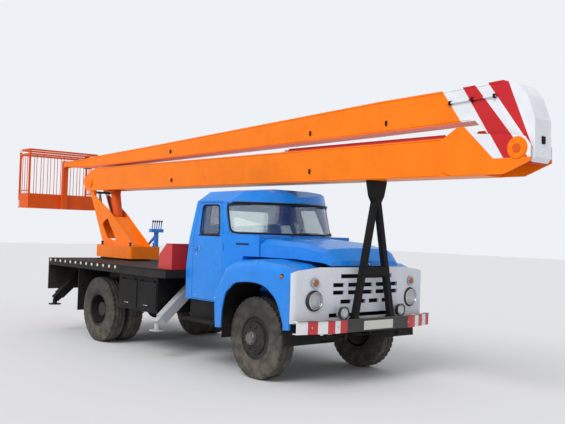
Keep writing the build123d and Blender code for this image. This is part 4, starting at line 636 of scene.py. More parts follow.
FINISH = {}  # filled by make_finishes
PAINTS = {
    # finish: material, colour, then gloss, dirt, height that it reaches, rust, coat, shine, size of patches, metal.
    # A colour is one of the panel's by name, three screen values, or four plain ones.
    "blue": ("Cab Blue", "cab_blue", 0.24, 0.40, 1.1, 0.20, 0.25, 0.30, 3.0, 0.0),
    "white": ("Panel White", "panel_white", 0.40, 0.70, 1.3, 0.45, 0.25, 0.50, 3.0, 0.0),
    "orange": ("Boom Orange", "boom_orange", 0.38, 0.20, 1.5, 0.30, 0.05, 0.20, 3.0, 0.0),
    "basket": ("Basket Orange", (222, 84, 10), 0.50, 0.25, 1.5, 0.50, 0.05, 0.20, 3.0, 0.0),
    "black": ("Frame Black", (14, 14, 16), 0.50, 0.20, 1.0, 0.50, 0.0, 0.15, 3.0, 0.0),
    "sleeve": ("Sleeve Paint", (14, 14, 16), 0.50, 0.40, 1.0, 0.50, 0.0, 0.20, 3.0, 0.0),
    "deck": ("Deck Plate", (24, 22, 23), 0.60, 0.45, 1.6, 0.80, 0.0, 0.20, 3.0, 0.0),
    "red": ("Locker Red", (196, 38, 40), 0.40, 0.40, 1.2, 0.30, 0.25, 0.50, 3.0, 0.0),
    "wheel": ("Wheel Grey", (20, 20, 22), 0.40, 0.25, 1.2, 0.50, 0.0, 0.25, 3.0, 0.0),
    "hub": ("Hub Grey", (84, 84, 84), 0.40, 0.40, 1.2, 0.50, 0.25, 0.50, 3.0, 0.0),
    "cast": ("Axle Iron", (26, 25, 24), 0.70, 0.60, 1.2, 0.80, 0.0, 0.15, 3.0, 0.0),
    "pale": ("Leg Grey", (196, 198, 200), 0.50, 0.60, 1.3, 0.60, 0.25, 0.50, 3.0, 0.0),
    "seat": ("Bench Cover", (46, 42, 40), 0.60, 0.20, 1.0, 0.0, 0.0, 0.50, 20.0, 0.0),
    "trim": ("Black Plastic", (24, 24, 26), 0.45, 0.20, 1.0, 0.0, 0.0, 0.50, 3.0, 0.0),
    "tyre": ("Tyre Rubber", (38, 38, 40), 0.62, 0.75, 1.3, 0.0, 0.0, 0.25, 9.0, 0.0),
    "rubber": ("Seal Rubber", (22, 22, 24), 0.62, 0.30, 1.3, 0.0, 0.0, 0.25, 9.0, 0.0),
    "hose_red": ("Red Hose", (140, 40, 34), 0.62, 0.30, 1.3, 0.0, 0.0, 0.25, 9.0, 0.0),
    "chrome": ("Bright Metal", (0.75, 0.76, 0.78, 1), 0.14, 0.35, 1.0, 0.10, 0.0, 0.50, 7.0, 1.0),
    "steel": ("Rod Steel", (0.62, 0.63, 0.65, 1), 0.22, 0.35, 1.0, 0.10, 0.0, 0.50, 7.0, 1.0),
    "plate": ("Blank Plate", (205, 206, 196), 0.45, 0.35, 1.3, 0.10, 0.25, 0.50, 3.0, 0.0),
    "bumper": ("Bumper Bands", "stripe_white", 0.40, 0.30, 1.0, 0.30, 0.25, 0.50, 3.0, 0.0),
    "upper": ("Upper Boom Paint", "boom_orange", 0.36, 0.12, 1.5, 0.25, 0.05, 0.20, 3.0, 0.0),
    "lower": ("Lower Boom Paint", "boom_orange", 0.36, 0.12, 1.5, 0.25, 0.05, 0.20, 3.0, 0.0),
    "cheek": ("Fork Cheek Paint", "boom_orange", 0.36, 0.12, 1.5, 0.25, 0.05, 0.20, 3.0, 0.0),
}
LENSES = {
    # finish: material, colour, metal
    "clear": ("Clear Lens", (0.50, 0.52, 0.53, 1), 0.8),
    "amber": ("Amber Lens", (158, 84, 26), 0.0),
    "ruby": ("Red Lens", (170, 22, 20), 0.0),
}
BUMPER_EDGES = (
    # Y past which the colour starts, from a white end: red, white or black
    (-1.03, "red"), (-0.90, "white"), (-0.77, "red"), (-0.67, "white"), (-0.585, "red"), (-0.47, "black"),
    (0.62, "red"), (0.78, "white"), (0.88, "red"), (0.98, "white"), (1.08, "red"),
)
KNUCKLE_EDGES = (
    # slope, value of x ahead of the front axle + slope * z at the line, colour beyond it
    (0.72, 4.601, "white"), (0.65, 4.640, "red"), (0.82, 5.393, "white"), (0.75, 5.320, "red"),
    (0.42, 4.417, "white"),
)
CHEEK_EDGES = (
    (1.05, 5.632, "white"), (0.65, 4.686, "red"), (0.82, 5.420, "white"), (0.75, 5.355, "red"),
    (0.42, 4.450, "white"),
)
BANDS = {
    # finish: rows of axis, slope, value at the line, colour beyond it
    "sleeve": [("X", 0.0, ahead(-3.5), "grey")],
    "bumper": [("Y", 0.0, y, beyond) for y, beyond in BUMPER_EDGES],
    "upper": [("X", slope, ahead(value), beyond) for slope, value, beyond in KNUCKLE_EDGES],
    "cheek": [("X", slope, ahead(value), beyond) for slope, value, beyond in CHEEK_EDGES],
}
BOSSES = {"cheek": (2.66, 0.118)}  # top of the low arm, radius round the pin


def make_finishes(look):
    """Builds each finish once from the tables and the colours in the panel."""
    grime_group()
    chip_group()
    beyond = {
        "red": tuple(look.stripe_red), "white": tuple(look.stripe_white), "black": tone(30, 30, 32),
        "grey": tone(176, 180, 184),
    }

    def colour_of(given):
        """The panel's colour of that name, a colour from screen values, or four plain values as they are."""
        if isinstance(given, str):
            return tuple(getattr(look, given))
        return tone(*given) if len(given) == 3 else given

    for key, (name, colour, *values) in PAINTS.items():
        bands = [(*edge, beyond[colour_name]) for *edge, colour_name in BANDS.get(key, ())]
        FINISH[key] = painted(name, colour_of(colour), bands, BOSSES.get(key), *values)
    for key, (name, colour, metal) in LENSES.items():
        FINISH[key] = lens(name, colour_of(colour), metal)
    FINISH["glass"] = clear_glass("Window Glass")


NODE_FINISH = {
    "blue": (
        "cab_body", "cab_roof", "door_left", "door_right", "bonnet", "fender_left", "fender_right", "control_stand",
    ),
    "white": ("front_panel",),
    "orange": ("turret",),
    "upper": ("upper_boom", "upper_knuckle"),
    "lower": ("lower_boom", "lift_lugs"),
    "cheek": ("fork_cheek_left", "fork_cheek_right"),
    "basket": ("basket", "lift_barrel", "elbow_link"),
    "black": (
        "frame_rails", "cab_steps", "boom_rest", "side_lockers", "slew_ring",
        "outrigger_leg_rear_left", "outrigger_leg_rear_right",
    ),
    "sleeve": ("outrigger_sleeves",),
    "deck": ("deck",),
    "red": ("red_locker", "level_rod"),
    "bumper": ("front_bumper",),
    "wheel": ("rim_front_left", "rim_front_right", "rims_rear_left", "rims_rear_right"),
    "cast": (
        "front_axle", "rear_axle", "leaf_springs", "engine_block", "driveline", "knuckle_left", "knuckle_right",
    ),
    "pale": ("outrigger_leg_mid_left", "outrigger_leg_mid_right"),
    "steel": ("lift_rod",),
    "seat": ("bench_seat",),
    "trim": ("dashboard",),
    "rubber": ("mud_flaps",),
    "glass": ("cab_glass", "door_glass_left", "door_glass_right"),
    "clear": ("lamps",),
}


class LorryLook(bpy.types.PropertyGroup):
    """Colours and sizes that a user would change."""

    cab_blue: bpy.props.FloatVectorProperty(
        name="Cab blue", description="Paint of the cab, bonnet and fenders",
        subtype="COLOR", size=4, min=0, max=1, default=tone(4, 128, 222))
    panel_white: bpy.props.FloatVectorProperty(
        name="Panel white", description="Paint of the front panel",
        subtype="COLOR", size=4, min=0, max=1, default=tone(214, 219, 228))
    boom_orange: bpy.props.FloatVectorProperty(
        name="Boom orange", description="Paint of the booms and turret",
        subtype="COLOR", size=4, min=0, max=1, default=tone(248, 122, 0))
    stripe_white: bpy.props.FloatVectorProperty(
        name="Stripe white", description="White of the warning stripes",
        subtype="COLOR", size=4, min=0, max=1, default=tone(226, 228, 232))
    stripe_red: bpy.props.FloatVectorProperty(
        name="Stripe red", description="Red of the warning stripes",
        subtype="COLOR", size=4, min=0, max=1, default=tone(196, 36, 42))
    tread_depth: bpy.props.FloatProperty(
        name="Tread depth", description="Depth of the grooves in the tyres",
        unit="LENGTH", default=0.012, min=0.0, max=0.02)
    tread_blocks: bpy.props.IntProperty(
        name="Tread blocks", description="Blocks round each tyre's shoulder", default=40, min=20, max=80)
    seal_radius: bpy.props.FloatProperty(
        name="Window seal", description="Radius of the rubber round the windows",
        unit="LENGTH", default=0.011, min=0.004, max=0.03)
    hose_radius: bpy.props.FloatProperty(
        name="Hose radius", description="Radius of the hydraulic hoses",
        unit="LENGTH", default=0.011, min=0.004, max=0.03)


# Pieces


class LORRY_OT_finishes(bpy.types.Operator):
    """Gives every solid its weathered finish"""

    bl_idname = "lorry.finishes"
    bl_label = "Finishes"

    def execute(self, context):
        make_finishes(context.scene.lorry_look)
        for key, nodes in NODE_FINISH.items():
            for name in nodes:
                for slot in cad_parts[name].material_slots:
                    slot.material = FINISH[key]
        return {"FINISHED"}


class LORRY_OT_tyres(bpy.types.Operator):
    """Lays treaded tyres over the plain rings"""

    bl_idname = "lorry.tyres"
    bl_label = "Tyres"

    def execute(self, context):
        look = context.scene.lorry_look
        t = np.linspace(0, 2 * math.pi, BORE_SIDES, endpoint=False)
        across, radius = BEAD[:, :1], BEAD[:, 1:]
        for wheel, node, x, middles, _ in WHEELS:
            shell = Shell()
            for y in middles:
                shell.grid(tyre_surface(x, y, look.tread_depth, look.tread_blocks), close_v=True)
                steady = np.broadcast_to(y + across * TYRE_HALF_WIDTH, (len(BEAD), BORE_SIDES))
                bore = np.stack((x + radius * np.sin(t), steady, AXLE_Z - radius * np.cos(t)), axis=-1)
                shell.grid(bore, close_v=True)
            tyre = shell.build("tread_" + node.split("_", 1)[1], wheel, FINISH["tyre"], slot="tyre", sharp=28)
            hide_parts(node)
        return {"FINISHED"}


class LORRY_OT_wheel_fittings(bpy.types.Operator):
    """Rim flanges, hubs, studs and nuts"""

    bl_idname = "lorry.wheel_fittings"
    bl_label = "Wheel fittings"

    def execute(self, context):
        finishes = [FINISH["wheel"], FINISH["hub"], FINISH["cast"]]
        for wheel, _, x, middles, side in WHEELS:
            shell = Shell()
            forms = FRONT_HUB if len(middles) == 1 else REAR_HUB
            axis = np.array((0, side, 0))
            face = np.array((x, middles[-1] + side * forms["face"], AXLE_Z))
            shell.turned(RIM_LIP, (x, middles[-1] + side * RIM_LIP_OUT, AXLE_Z), axis, 64)
            for mark, sides, profile in forms["turned"]:
                shell.turned(profile, face, axis, sides, mark=mark)
            circle, base = forms["studs"]
            for spot in round_places(face + axis * base, circle, WHEEL_STUDS, shift=0.5):
                bolt(shell, spot, axis, 0.017, mark=2)
                stud = spot + axis * 0.012
                shell.grid(stroke(stud, stud + axis * 0.018, 0.009, 8), close_v=True, mark=2)
            for spot in round_places(face + axis * forms["cap"], HUB_CAP_CIRCLE, WHEEL_STUDS):
                bolt(shell, spot, axis, 0.008, mark=2)
            shell.build("wheel_fittings_" + wheel, wheel, finishes, slot="wheel_grey")
        return {"FINISHED"}


class LORRY_OT_front_lamps(bpy.types.Operator):
    """Headlamps, turn lamps, fog lamps and side lamps"""

    bl_idname = "lorry.front_lamps"
    bl_label = "Front lamps"

    def execute(self, context):
        shells = {piece: Shell() for piece, *_ in LAMP_PIECES}
        for _, side in SIDES:
            for piece, faces, (forward, y, z), sides, profile in LAMP_FORMS:
                axis = (1, 0, 0) if faces == "front" else (0, side, 0)
                shells[piece].turned(profile, (ahead(forward), side * y, z), axis, sides)
        for piece, finish, slot in LAMP_PIECES:
            shells[piece].build(piece, "chassis", FINISH[finish], slot=slot)
        return {"FINISHED"}


class LORRY_OT_cab_trim(bpy.types.Operator):
    """Window rubbers, drip rail, wipers, hinges and vent lips of the cab, and black strips of painted shade under the
    roof's front edge and in the vent slots
    """

    bl_idname = "lorry.cab_trim"
    bl_label = "Cab trim"

    def execute(self, context):
        radius = context.scene.lorry_look.seal_radius
        rubbers, blues, blacks = Shell(), Shell(), Shell()
        screen = spread(rounded([(0, y, z) for y, z in SCREEN_CORNERS], WINDOW_CORNER))
        screen[:, 0] = screen_x(screen[:, 1], screen[:, 2]) + 0.002
        rubbers.carried(ring(radius * 1.1, 10), screen, up=(1, 0, 0.3), loop=True)
        rear = rounded([(ahead(REAR_WINDOW_X), y, z) for y, z in REAR_WINDOW_CORNERS], WINDOW_CORNER)
        rubbers.carried(ring(radius, 10), rear, up=(-1, 0, 0), loop=True)
        # A black strip under the roof's front edge: painted shade under the visor's lip.
        visor_shade_y = np.linspace(-0.86, 0.86, 41)
        visor_shade_strip = np.column_stack((screen_x(visor_shade_y, VISOR_SHADE_Z - 0.002) + 0.012, visor_shade_y, np.full(41, VISOR_SHADE_Z)))
        blacks.carried(ring(0.016, 10, 0.007), visor_shade_strip)
        for _, side in SIDES:
            foot_y = side * 0.30 + 0.05
            foot = np.array((screen_x(foot_y, 1.775) + 0.02, foot_y, 1.780))
            blacks.turned(WIPER_FOOT, foot, (1, 0, 0.3), 16)
            blade_y = np.linspace(foot_y + 0.12, foot_y + 0.50, 15)
            blade_z = 1.812 + 0.010 * np.linspace(0, 1, 15)
            blade = np.column_stack((screen_x(blade_y, blade_z) + 0.012, blade_y, blade_z))
            blacks.carried(ring(0.005, 8, 0.009), blade, up=(1, 0, 0.3))
            tip = np.array((screen_x(foot_y + 0.31, 1.822) + 0.024, foot_y + 0.31, 1.820))
            arm = bend([foot + (0.012, 0, 0.004), (foot + tip) / 2 + (0.012, 0, 0), tip], 8)
            blacks.carried(ring(0.005, 8), arm)
            # Each vent: a black bar of painted shade along its slot, under a blue lip.
            vent_shade_and_lip = np.array([(ahead(-0.36), side * 0.870, 1.655), (ahead(-0.54), side * 0.934, 1.655)])
            blacks.carried(ring(0.006, 8, 0.012), vent_shade_and_lip)
            blues.carried(ring(0.007, 8, 0.005), vent_shade_and_lip + np.array((0, 0, 0.016)))
            gutter = [(ahead(x), side * (cab_side(z) - 0.005), z) for x, z in GUTTER]
            blues.carried(ring(0.010, 10, 0.008), bend(gutter, 8))
            for z in DOOR_HINGE_Z:
                blues.turned(DOOR_HINGE, (ahead(DOOR_HINGE_X), side * (cab_side(z) + 0.004), z), (0, 0, 1), 14)
            blacks.block((-1.46, -0.68), (side * 0.98, side * 1.15), (0.618, 0.626), 0.003)
        rubbers.build("window_rubbers", "chassis", FINISH["rubber"])
        blues.build("cab_trim", "chassis", FINISH["blue"], slot="cab_blue")
        blacks.build("cab_black_trim", "chassis", FINISH["trim"])
        for name, side in SIDES:
            seals, catches = Shell(), Shell()
            pane = [(ahead(x), side * (cab_side(z) + 0.002), z) for x, z in DOOR_PANE]
            seals.carried(ring(radius * 0.9, 10), rounded(pane, 0.06), up=(0, side, 0), loop=True)
            seals.carried(ring(0.006, 8, 0.010), line(DOOR_SILL, side * (cab_side(1.752) + 0.004)))
            lock_y = side * (cab_side(1.5) + 0.001)
            catches.turned(KEY_ROUND, (ahead(-1.34), lock_y, 1.49), (0, side, 0), 20)
            catches.turned(HANDLE_ROUND, (ahead(-1.285), lock_y + side * 0.001, 1.572), (0, side, 0), 20)
            for x in (-1.36, -0.90):
                bolt(catches, (ahead(x), side * (cab_side(0.93) + 0.001), 0.93), (0, side, 0), 0.006)
            seals.build("door_window_seal_" + name, "door_" + name, FINISH["rubber"])
            catches.build("door_lock_" + name, "door_" + name, FINISH["chrome"])
        return {"FINISHED"}


class LORRY_OT_front_trim(bpy.types.Operator):
    """Radiator core, blank plate, bumper lip, tow hooks, arch beads and the rest's pads"""

    bl_idname = "lorry.front_trim"
    bl_label = "Front trim"

    def execute(self, context):
        core, plate, greys, blacks, blues, brights, liners, handle = (Shell() for _ in range(8))
        for y in np.arange(-0.60, 0.601, 0.02):
            core.block((0.745, 0.765), (y - 0.004, y + 0.004), (0.86, 1.37), 0.001)
        core.block((0.735, 0.745), (-0.62, 0.62), (0.84, 1.39), 0.002)
        plate.block((1.066, 1.072), (-0.19, 0.33), (0.682, 0.790), 0.003)
        for y in (-0.15, 0.29):
            bolt(brights, (ahead(1.072), y, 0.736), (1, 0, 0), 0.006)
        greys.carried(ring(0.014, 10, 0.004), [(ahead(x), y, BUMPER_TOP) for x, y in BUMPER_LIP])
        for _, side in SIDES:
            blacks.carried(ring(0.014, 10), bend(line(TOW_HOOK, side * 0.47), 8), up=(0, 1, 0))
            for dx, dy in ((-0.022, -0.048), (0.022, -0.048), (-0.022, 0.048), (0.022, 0.048)):
                bolt(blacks, (ahead(1.030 + dx), side * 0.320 + dy, 0.829), (0, 0, 1), 0.009)
            for x, y in ((1.066, 0.62), (1.003, 0.98)):
                bolt(brights, (ahead(x), side * y, 0.74), (1, 0, 0), 0.009)
            blues.carried(ring(0.008, 8), bend(line(ARCH_BEAD, side * 1.163), 8), up=(0, 1, 0))
            liners.carried(LINER_SHEET, bend(line(ARCH_LINER, side * 0.86), 8), up=(0, 1, 0))
        blacks.block((0.995, 1.065), (-0.150, 0.150), (2.4845, 2.4905), 0.002)
        core.build("radiator_core", "chassis", FINISH["trim"])
        plate.build("blank_plate", "chassis", FINISH["plate"])
        greys.build("bumper_lip", "chassis", FINISH["hub"])
        blacks.build("tow_hooks_and_pads", "chassis", FINISH["black"], slot="frame_black")
        blues.build("fender_beads", "chassis", FINISH["blue"], slot="cab_blue")
        liners.build("arch_liners", "chassis", FINISH["black"], slot="frame_black")
        brights.build("front_bolts", "chassis", FINISH["steel"])
        grip = [(ahead(x), y, 1.462) for x, y in BONNET_GRIP]
        handle.carried(ring(0.007, 10), bend(grip, 6))
        handle.build("bonnet_handle", "bonnet", FINISH["chrome"])
        return {"FINISHED"}


class LORRY_OT_boom_fittings(bpy.types.Operator):
    """Weld ledges, pin caps, brackets and pipes of the booms, and the lift barrel's gland"""

    bl_idname = "lorry.boom_fittings"
    bl_label = "Boom fittings"

    def execute(self, context):
        ledge, blacks, pipes, upper, clips, rod_end, barrel = (Shell() for _ in range(7))
        for _, side in SIDES:
            axis = np.array((0, side, 0))
            for z, high in ((LOWER_BOTTOM + 0.016, 0.006), (LOWER_TOP - 0.014, 0.005)):
                ledge.carried(ring(0.007, 8, high), line(((-5.80, z), (2.14, z)), side * LOWER_HALF))
            upper.carried(ring(0.007, 8, 0.007), line(UPPER_LOW_EDGE, side * UPPER_HALF, lift=0.018))
            upper.carried(ring(0.006, 8, 0.006), line(UPPER_HIGH_EDGE, side * UPPER_HALF, lift=-0.016))
            ledge.turned(PIVOT_CAP, (BOOM_PIVOT[0], side * 0.204, BOOM_PIVOT[1]), axis, 32)
            for spot in round_places((ELBOW[0], side * 0.216, ELBOW[1]), ELBOW_BOLT_CIRCLE, 6):
                bolt(ledge, spot, axis, 0.008)
            for spot in round_places((BOOM_PIVOT[0], side * 0.210, BOOM_PIVOT[1]), PIVOT_BOLT_CIRCLE, 4, shift=0.5):
                bolt(ledge, spot, axis, 0.006)
            for shell, half, places in ((blacks, LOWER_HALF, LOWER_CLIPS), (clips, UPPER_HALF, UPPER_CLIPS)):
                out = (side * half, side * (half + 0.02))
                for x, z in places:
                    shell.block((x - 0.012, x + 0.012), out, (z - 0.03, z + 0.03), 0.003)
        for y in PIPE_Y:
            pipes.carried(ring(0.008, 8), line(((-5.6, LOWER_TOP + 0.012), (2.3, LOWER_TOP + 0.012)), y))
        for x in np.arange(-5.4, 2.2, PIPE_CLIP_GAP):
            blacks.block((x - 0.015, x + 0.015), (0.055, 0.120), (LOWER_TOP, LOWER_TOP + 0.024), 0.003)
        for x in (-0.55, 0.75, 2.0):
            saddle = [(ahead(x), -0.045, LOWER_TOP + 0.004), (ahead(x), 0.045, LOWER_TOP + 0.004)]
            blacks.carried(ring(0.022, 8, 0.008), saddle)
        rod_end.carried(ring(0.018, 12), line(((-0.70, LOWER_TOP + 0.034), (-0.60, LOWER_TOP + 0.034)), 0))
        upper.carried(ring(0.010, 10), line(UPPER_ROD, UPPER_ROD_Y))
        for x, z in UPPER_ROD_CLIPS:
            clips.block((x - 0.014, x + 0.014), (-0.186, -0.149), (z - 0.022, z + 0.022), 0.003)
        clips.block((3.19, 3.30), (-0.03, 0.03), (2.80, 2.88), 0.006)
        ledge.build("lower_boom_ledges", "lower_boom", FINISH["lower"], slot="boom_orange")
        upper.build("upper_boom_ledges", "upper_boom", FINISH["upper"], slot="boom_orange")
        blacks.build("lower_boom_fittings", "lower_boom", FINISH["black"], slot="frame_black")
        pipes.build("lower_boom_pipes", "lower_boom", FINISH["steel"])
        rod_end.build("level_rod_end", "lower_boom", FINISH["steel"])
        clips.build("upper_boom_brackets", "upper_boom", FINISH["black"], slot="frame_black")
        along = unit(LIFT_EYE - LIFT_FOOT)
        barrel.turned(GLAND, LIFT_FOOT + along * 0.94, along, 40)
        for at in (0.13, 0.80):
            barrel.turned(OIL_PORT, LIFT_FOOT + along * at + np.array((-0.083, 0, 0)), (-1, 0, 0.1), 16)
        for at in (0.11, 0.45):
            barrel.turned(BARREL_BAND, LIFT_FOOT + along * at, along, 40)
        barrel.build("lift_barrel_fittings", "lift_barrel", FINISH["basket"])
        return {"FINISHED"}


class LORRY_OT_basket_fittings(bpy.types.Operator):
    """Gussets, patches, control box and floor wires of the basket"""

    bl_idname = "lorry.basket_fittings"
    bl_label = "Basket fittings"

    def execute(self, context):
        orange, pale, black = Shell(), Shell(), Shell()
        front, rear = ahead(BASKET_FRONT), ahead(BASKET_REAR)
        for side in (-1.0, 1.0):
            y = side * (BASKET_HALF + 0.002)
            for low, high, wide in CORNER_PATCHES:
                pale.block((BASKET_REAR, BASKET_REAR + wide), (y - 0.003, y + 0.003), (low, high), 0.001)
        for side in (-1.0, 1.0):
            y = side * (BASKET_HALF - 0.017)
            for corner_x, toward in ((front - 0.034, -1.0), (rear + 0.034, 1.0)):
                orange.grid(gusset(corner_x, y, toward), close_v=True)
            orange.carried(ring(0.010, 8), [(rear + 0.017, y, BASKET_RAIL), (front - 0.017, y, BASKET_RAIL)])
        black.block((BASKET_FRONT - 0.10, BASKET_FRONT - 0.030), (0.46, 0.64), (3.02, CONTROL_BOX_TOP), 0.010)
        for number in range(4):
            base = np.array((front - 0.068, 0.49 + number * 0.04, CONTROL_BOX_TOP))
            black.grid(stroke(base, base + (0, 0, 0.055), 0.005, 8), close_v=True)
            black.turned(SWITCH_KNOB, base + (0, 0, 0.050), (0, 0, 1), 14)
        for side in (-1.0, 1.0):
            black.turned(BASKET_PIN, (BASKET_PIVOT[0], side * 0.100, BASKET_PIVOT[1]), (0, side, 0), 24)
        for x in np.linspace(rear + 0.03, front - 0.03, 12):
            wire = [(x, -BASKET_HALF + 0.03, BASKET_FLOOR), (x, BASKET_HALF - 0.03, BASKET_FLOOR)]
            orange.carried(ring(0.003, 6), wire)
        orange.build("basket_fittings", "basket", FINISH["basket"])
        pale.build("basket_patches", "basket", FINISH["plate"])
        black.build("basket_controls", "basket", FINISH["trim"])
        return {"FINISHED"}


class LORRY_OT_deck_fittings(bpy.types.Operator):
    """Edge studs, locker doors, tail lamps and plates of the deck"""

    bl_idname = "lorry.deck_fittings"
    bl_label = "Deck fittings"

    def execute(self, context):
        dots, blacks, reds, ambers, pale, grips, lid = (Shell() for _ in range(7))
        for _, side in SIDES:
            for x in np.linspace(-5.52, -3.22, DECK_STUDS):
                dots.turned(EDGE_STUD, (ahead(x), side * DECK_HALF, 1.212), (0, side, 0), 16)
            edge = line(((DECK_REAR + 0.01, 1.238), (-1.80, 1.238)), side * (DECK_HALF + 0.002))
            blacks.carried(ring(0.006, 8, 0.006), edge)
            face = side * LOCKER_FACE
            for x0, x1 in LOCKER_DOORS:
                blacks.block((x0, x1), (face, face + side * 0.010), (0.63, 1.045), 0.005)
                for x in (x0 + 0.08, x1 - 0.08):
                    hinge_at = (ahead(x) - 0.035, face + side * 0.014, 1.050)
                    blacks.turned(LOCKER_HINGE, hinge_at, (1, 0, 0), 12)
                middle = (x0 + x1) / 2
                grip = [(ahead(middle + dx), face + side * out, 0.70) for dx, out in LOCKER_GRIP]
                grips.carried(ring(0.006, 8), bend(grip, 6))
            lamp_depth = (DECK_REAR - 0.030, DECK_REAR - 0.001)
            reds.block(lamp_depth, (side * 0.98, side * 1.10), REAR_LAMP_HEIGHTS, 0.006)
            ambers.block(lamp_depth, (side * 0.88, side * 0.975), REAR_LAMP_HEIGHTS, 0.006)
            blacks.block((DECK_REAR - 0.012, DECK_REAR - 0.0005), (side * 0.865, side * 1.115), (1.10, 1.20), 0.004)
            for y in REAR_LEG_BOLTS:
                bolt(blacks, (ahead(REAR_LEG_FACE), side * y, 1.18), (1, 0, 0), 0.009)
        pale.block((DECK_REAR - 0.008, DECK_REAR - 0.0005), (-0.26, 0.26), (1.105, 1.215), 0.003)
        for number in range(SLEW_BOLTS):
            angle = 2 * math.pi * (number + 0.5) / SLEW_BOLTS
            x, y = ahead(SLEW_X) + SLEW_BOLT_CIRCLE * math.cos(angle), SLEW_BOLT_CIRCLE * math.sin(angle)
            bolt(blacks, (x, y, DECK_TOP), (0, 0, 1), 0.011)
        lid.block((-1.975, -1.805), (-1.095, -0.555), (1.600, 1.612), 0.004)
        dots.build("deck_studs", "chassis", FINISH["plate"])
        blacks.build("deck_fittings", "chassis", FINISH["black"], slot="frame_black")
        grips.build("locker_grips", "chassis", FINISH["steel"])
        reds.build("tail_lamps", "chassis", FINISH["ruby"], slot="lens")
        ambers.build("rear_turn_lamps", "chassis", FINISH["amber"], slot="lens")
        pale.build("rear_plate", "chassis", FINISH["plate"])
        lid.build("red_locker_lid", "chassis", FINISH["red"])
        return {"FINISHED"}


class LORRY_OT_turret_fittings(bpy.types.Operator):
    """Hoses, knobs, bolts and lever knobs of the turret"""

    bl_idname = "lorry.turret_fittings"
    bl_label = "Turret fittings"

    def execute(self, context):
        radius = context.scene.lorry_look.hose_radius
        hoses, blacks, reds, brights = Shell(), Shell(), Shell(), Shell()
        for number in range(LEVERS):
            top = (ahead(LEVER_X), LEVER_Y + number * LEVER_GAP, LEVER_TOP)
            blacks.turned(LEVER_KNOB, top, (LEVER_LEAN, 0, 1), 16)
        for x in BASE_KNOB_X:
            for side in (-1.0, 1.0):
                blacks.turned(BASE_KNOB, (ahead(x), side * BASE_KNOB_Y, TURRET_BASE_TOP), (0, 0, 1), 20)
        for side in (-1.0, 1.0):
            for x in np.linspace(*BASE_BOLT_ENDS, 8):
                bolt(brights, (ahead(x), side * BASE_BOLT_Y, TURRET_BASE_TOP), (0, 0, 1), 0.009)
            for spot in round_places((BOOM_PIVOT[0], side * 0.165, BOOM_PIVOT[1]), 0.09, 6):
                bolt(brights, spot, (0, side, 0), 0.006)
        fitting = [(-0.004, 0), (-0.004, radius * 1.5), (0.03, radius * 1.5), (0.036, radius * 1.2), (0.036, 0)]
        for number, y in enumerate(HOSE_Y):
            stagger = 0.02 * number
            route = bend([
                (ahead(-5.10 - stagger), y, TURRET_BASE_TOP), (ahead(-5.12 - stagger), y, 1.62),
                (ahead(-5.38), y * 0.95, 1.80 + stagger), (ahead(-5.66), y * 0.95, 2.02),
                (ahead(-5.86), y * 0.9, 2.26), (ahead(-5.93), y * 0.9, 2.44),
            ], 10)
            (reds if number in (0, 3) else hoses).carried(ring(radius, 10), route, up=(0, 1, 0))
            for at, axis in ((route[0], (0, 0, 1)), (route[-1], (0.25, 0, -1))):
                brights.turned(fitting, at, axis, 12)
        blacks.block((-5.97, -5.89), (-0.148, 0.148), (2.435, 2.475), 0.006)
        hoses.build("turret_hoses", "turret", FINISH["rubber"])
        reds.build("turret_red_hoses", "turret", FINISH["hose_red"])
        blacks.build("turret_knobs", "turret", FINISH["trim"])
        brights.build("turret_bolts", "turret", FINISH["steel"])
        return {"FINISHED"}


class LORRY_OT_running_gear(bpy.types.Operator):
    """Spring bolts, exhaust pipe and silencer"""

    bl_idname = "lorry.running_gear"
    bl_label = "Running gear"

    def execute(self, context):
        iron = Shell()
        for x in (FRONT_AXLE_X, REAR_AXLE_X):
            for side in (-1.0, 1.0):
                for dx in (-0.07, 0.07):
                    hoop = rounded([(x + dx, side * y, z) for y, z in SPRING_BOLT], 0.03)
                    iron.carried(ring(0.009, 8), hoop, up=(1, 0, 0), loop=True)
        iron.carried(ring(0.032, 14), bend([(ahead(x), y, z) for x, y, z in EXHAUST], 10))
        iron.turned(SILENCER, (ahead(-1.53), -0.46, 0.60), (-1, 0, 0), 28)
        iron.build("spring_bolts_and_exhaust", "chassis", FINISH["cast"])
        return {"FINISHED"}


# The camera's place in metres and its turns in degrees, worked out from the axles in the photograph
CAMERA_PLACE = (ahead(7.6166), -7.1610, 1.8398)
CAMERA_YAW, CAMERA_PITCH, CAMERA_ROLL = 139.35, 1.38, -1.81
FOCAL_PIXELS, PICTURE_WIDTH, SENSOR_WIDTH = 788.5, 565, 36.0
FLOOR_REACH = 60.0


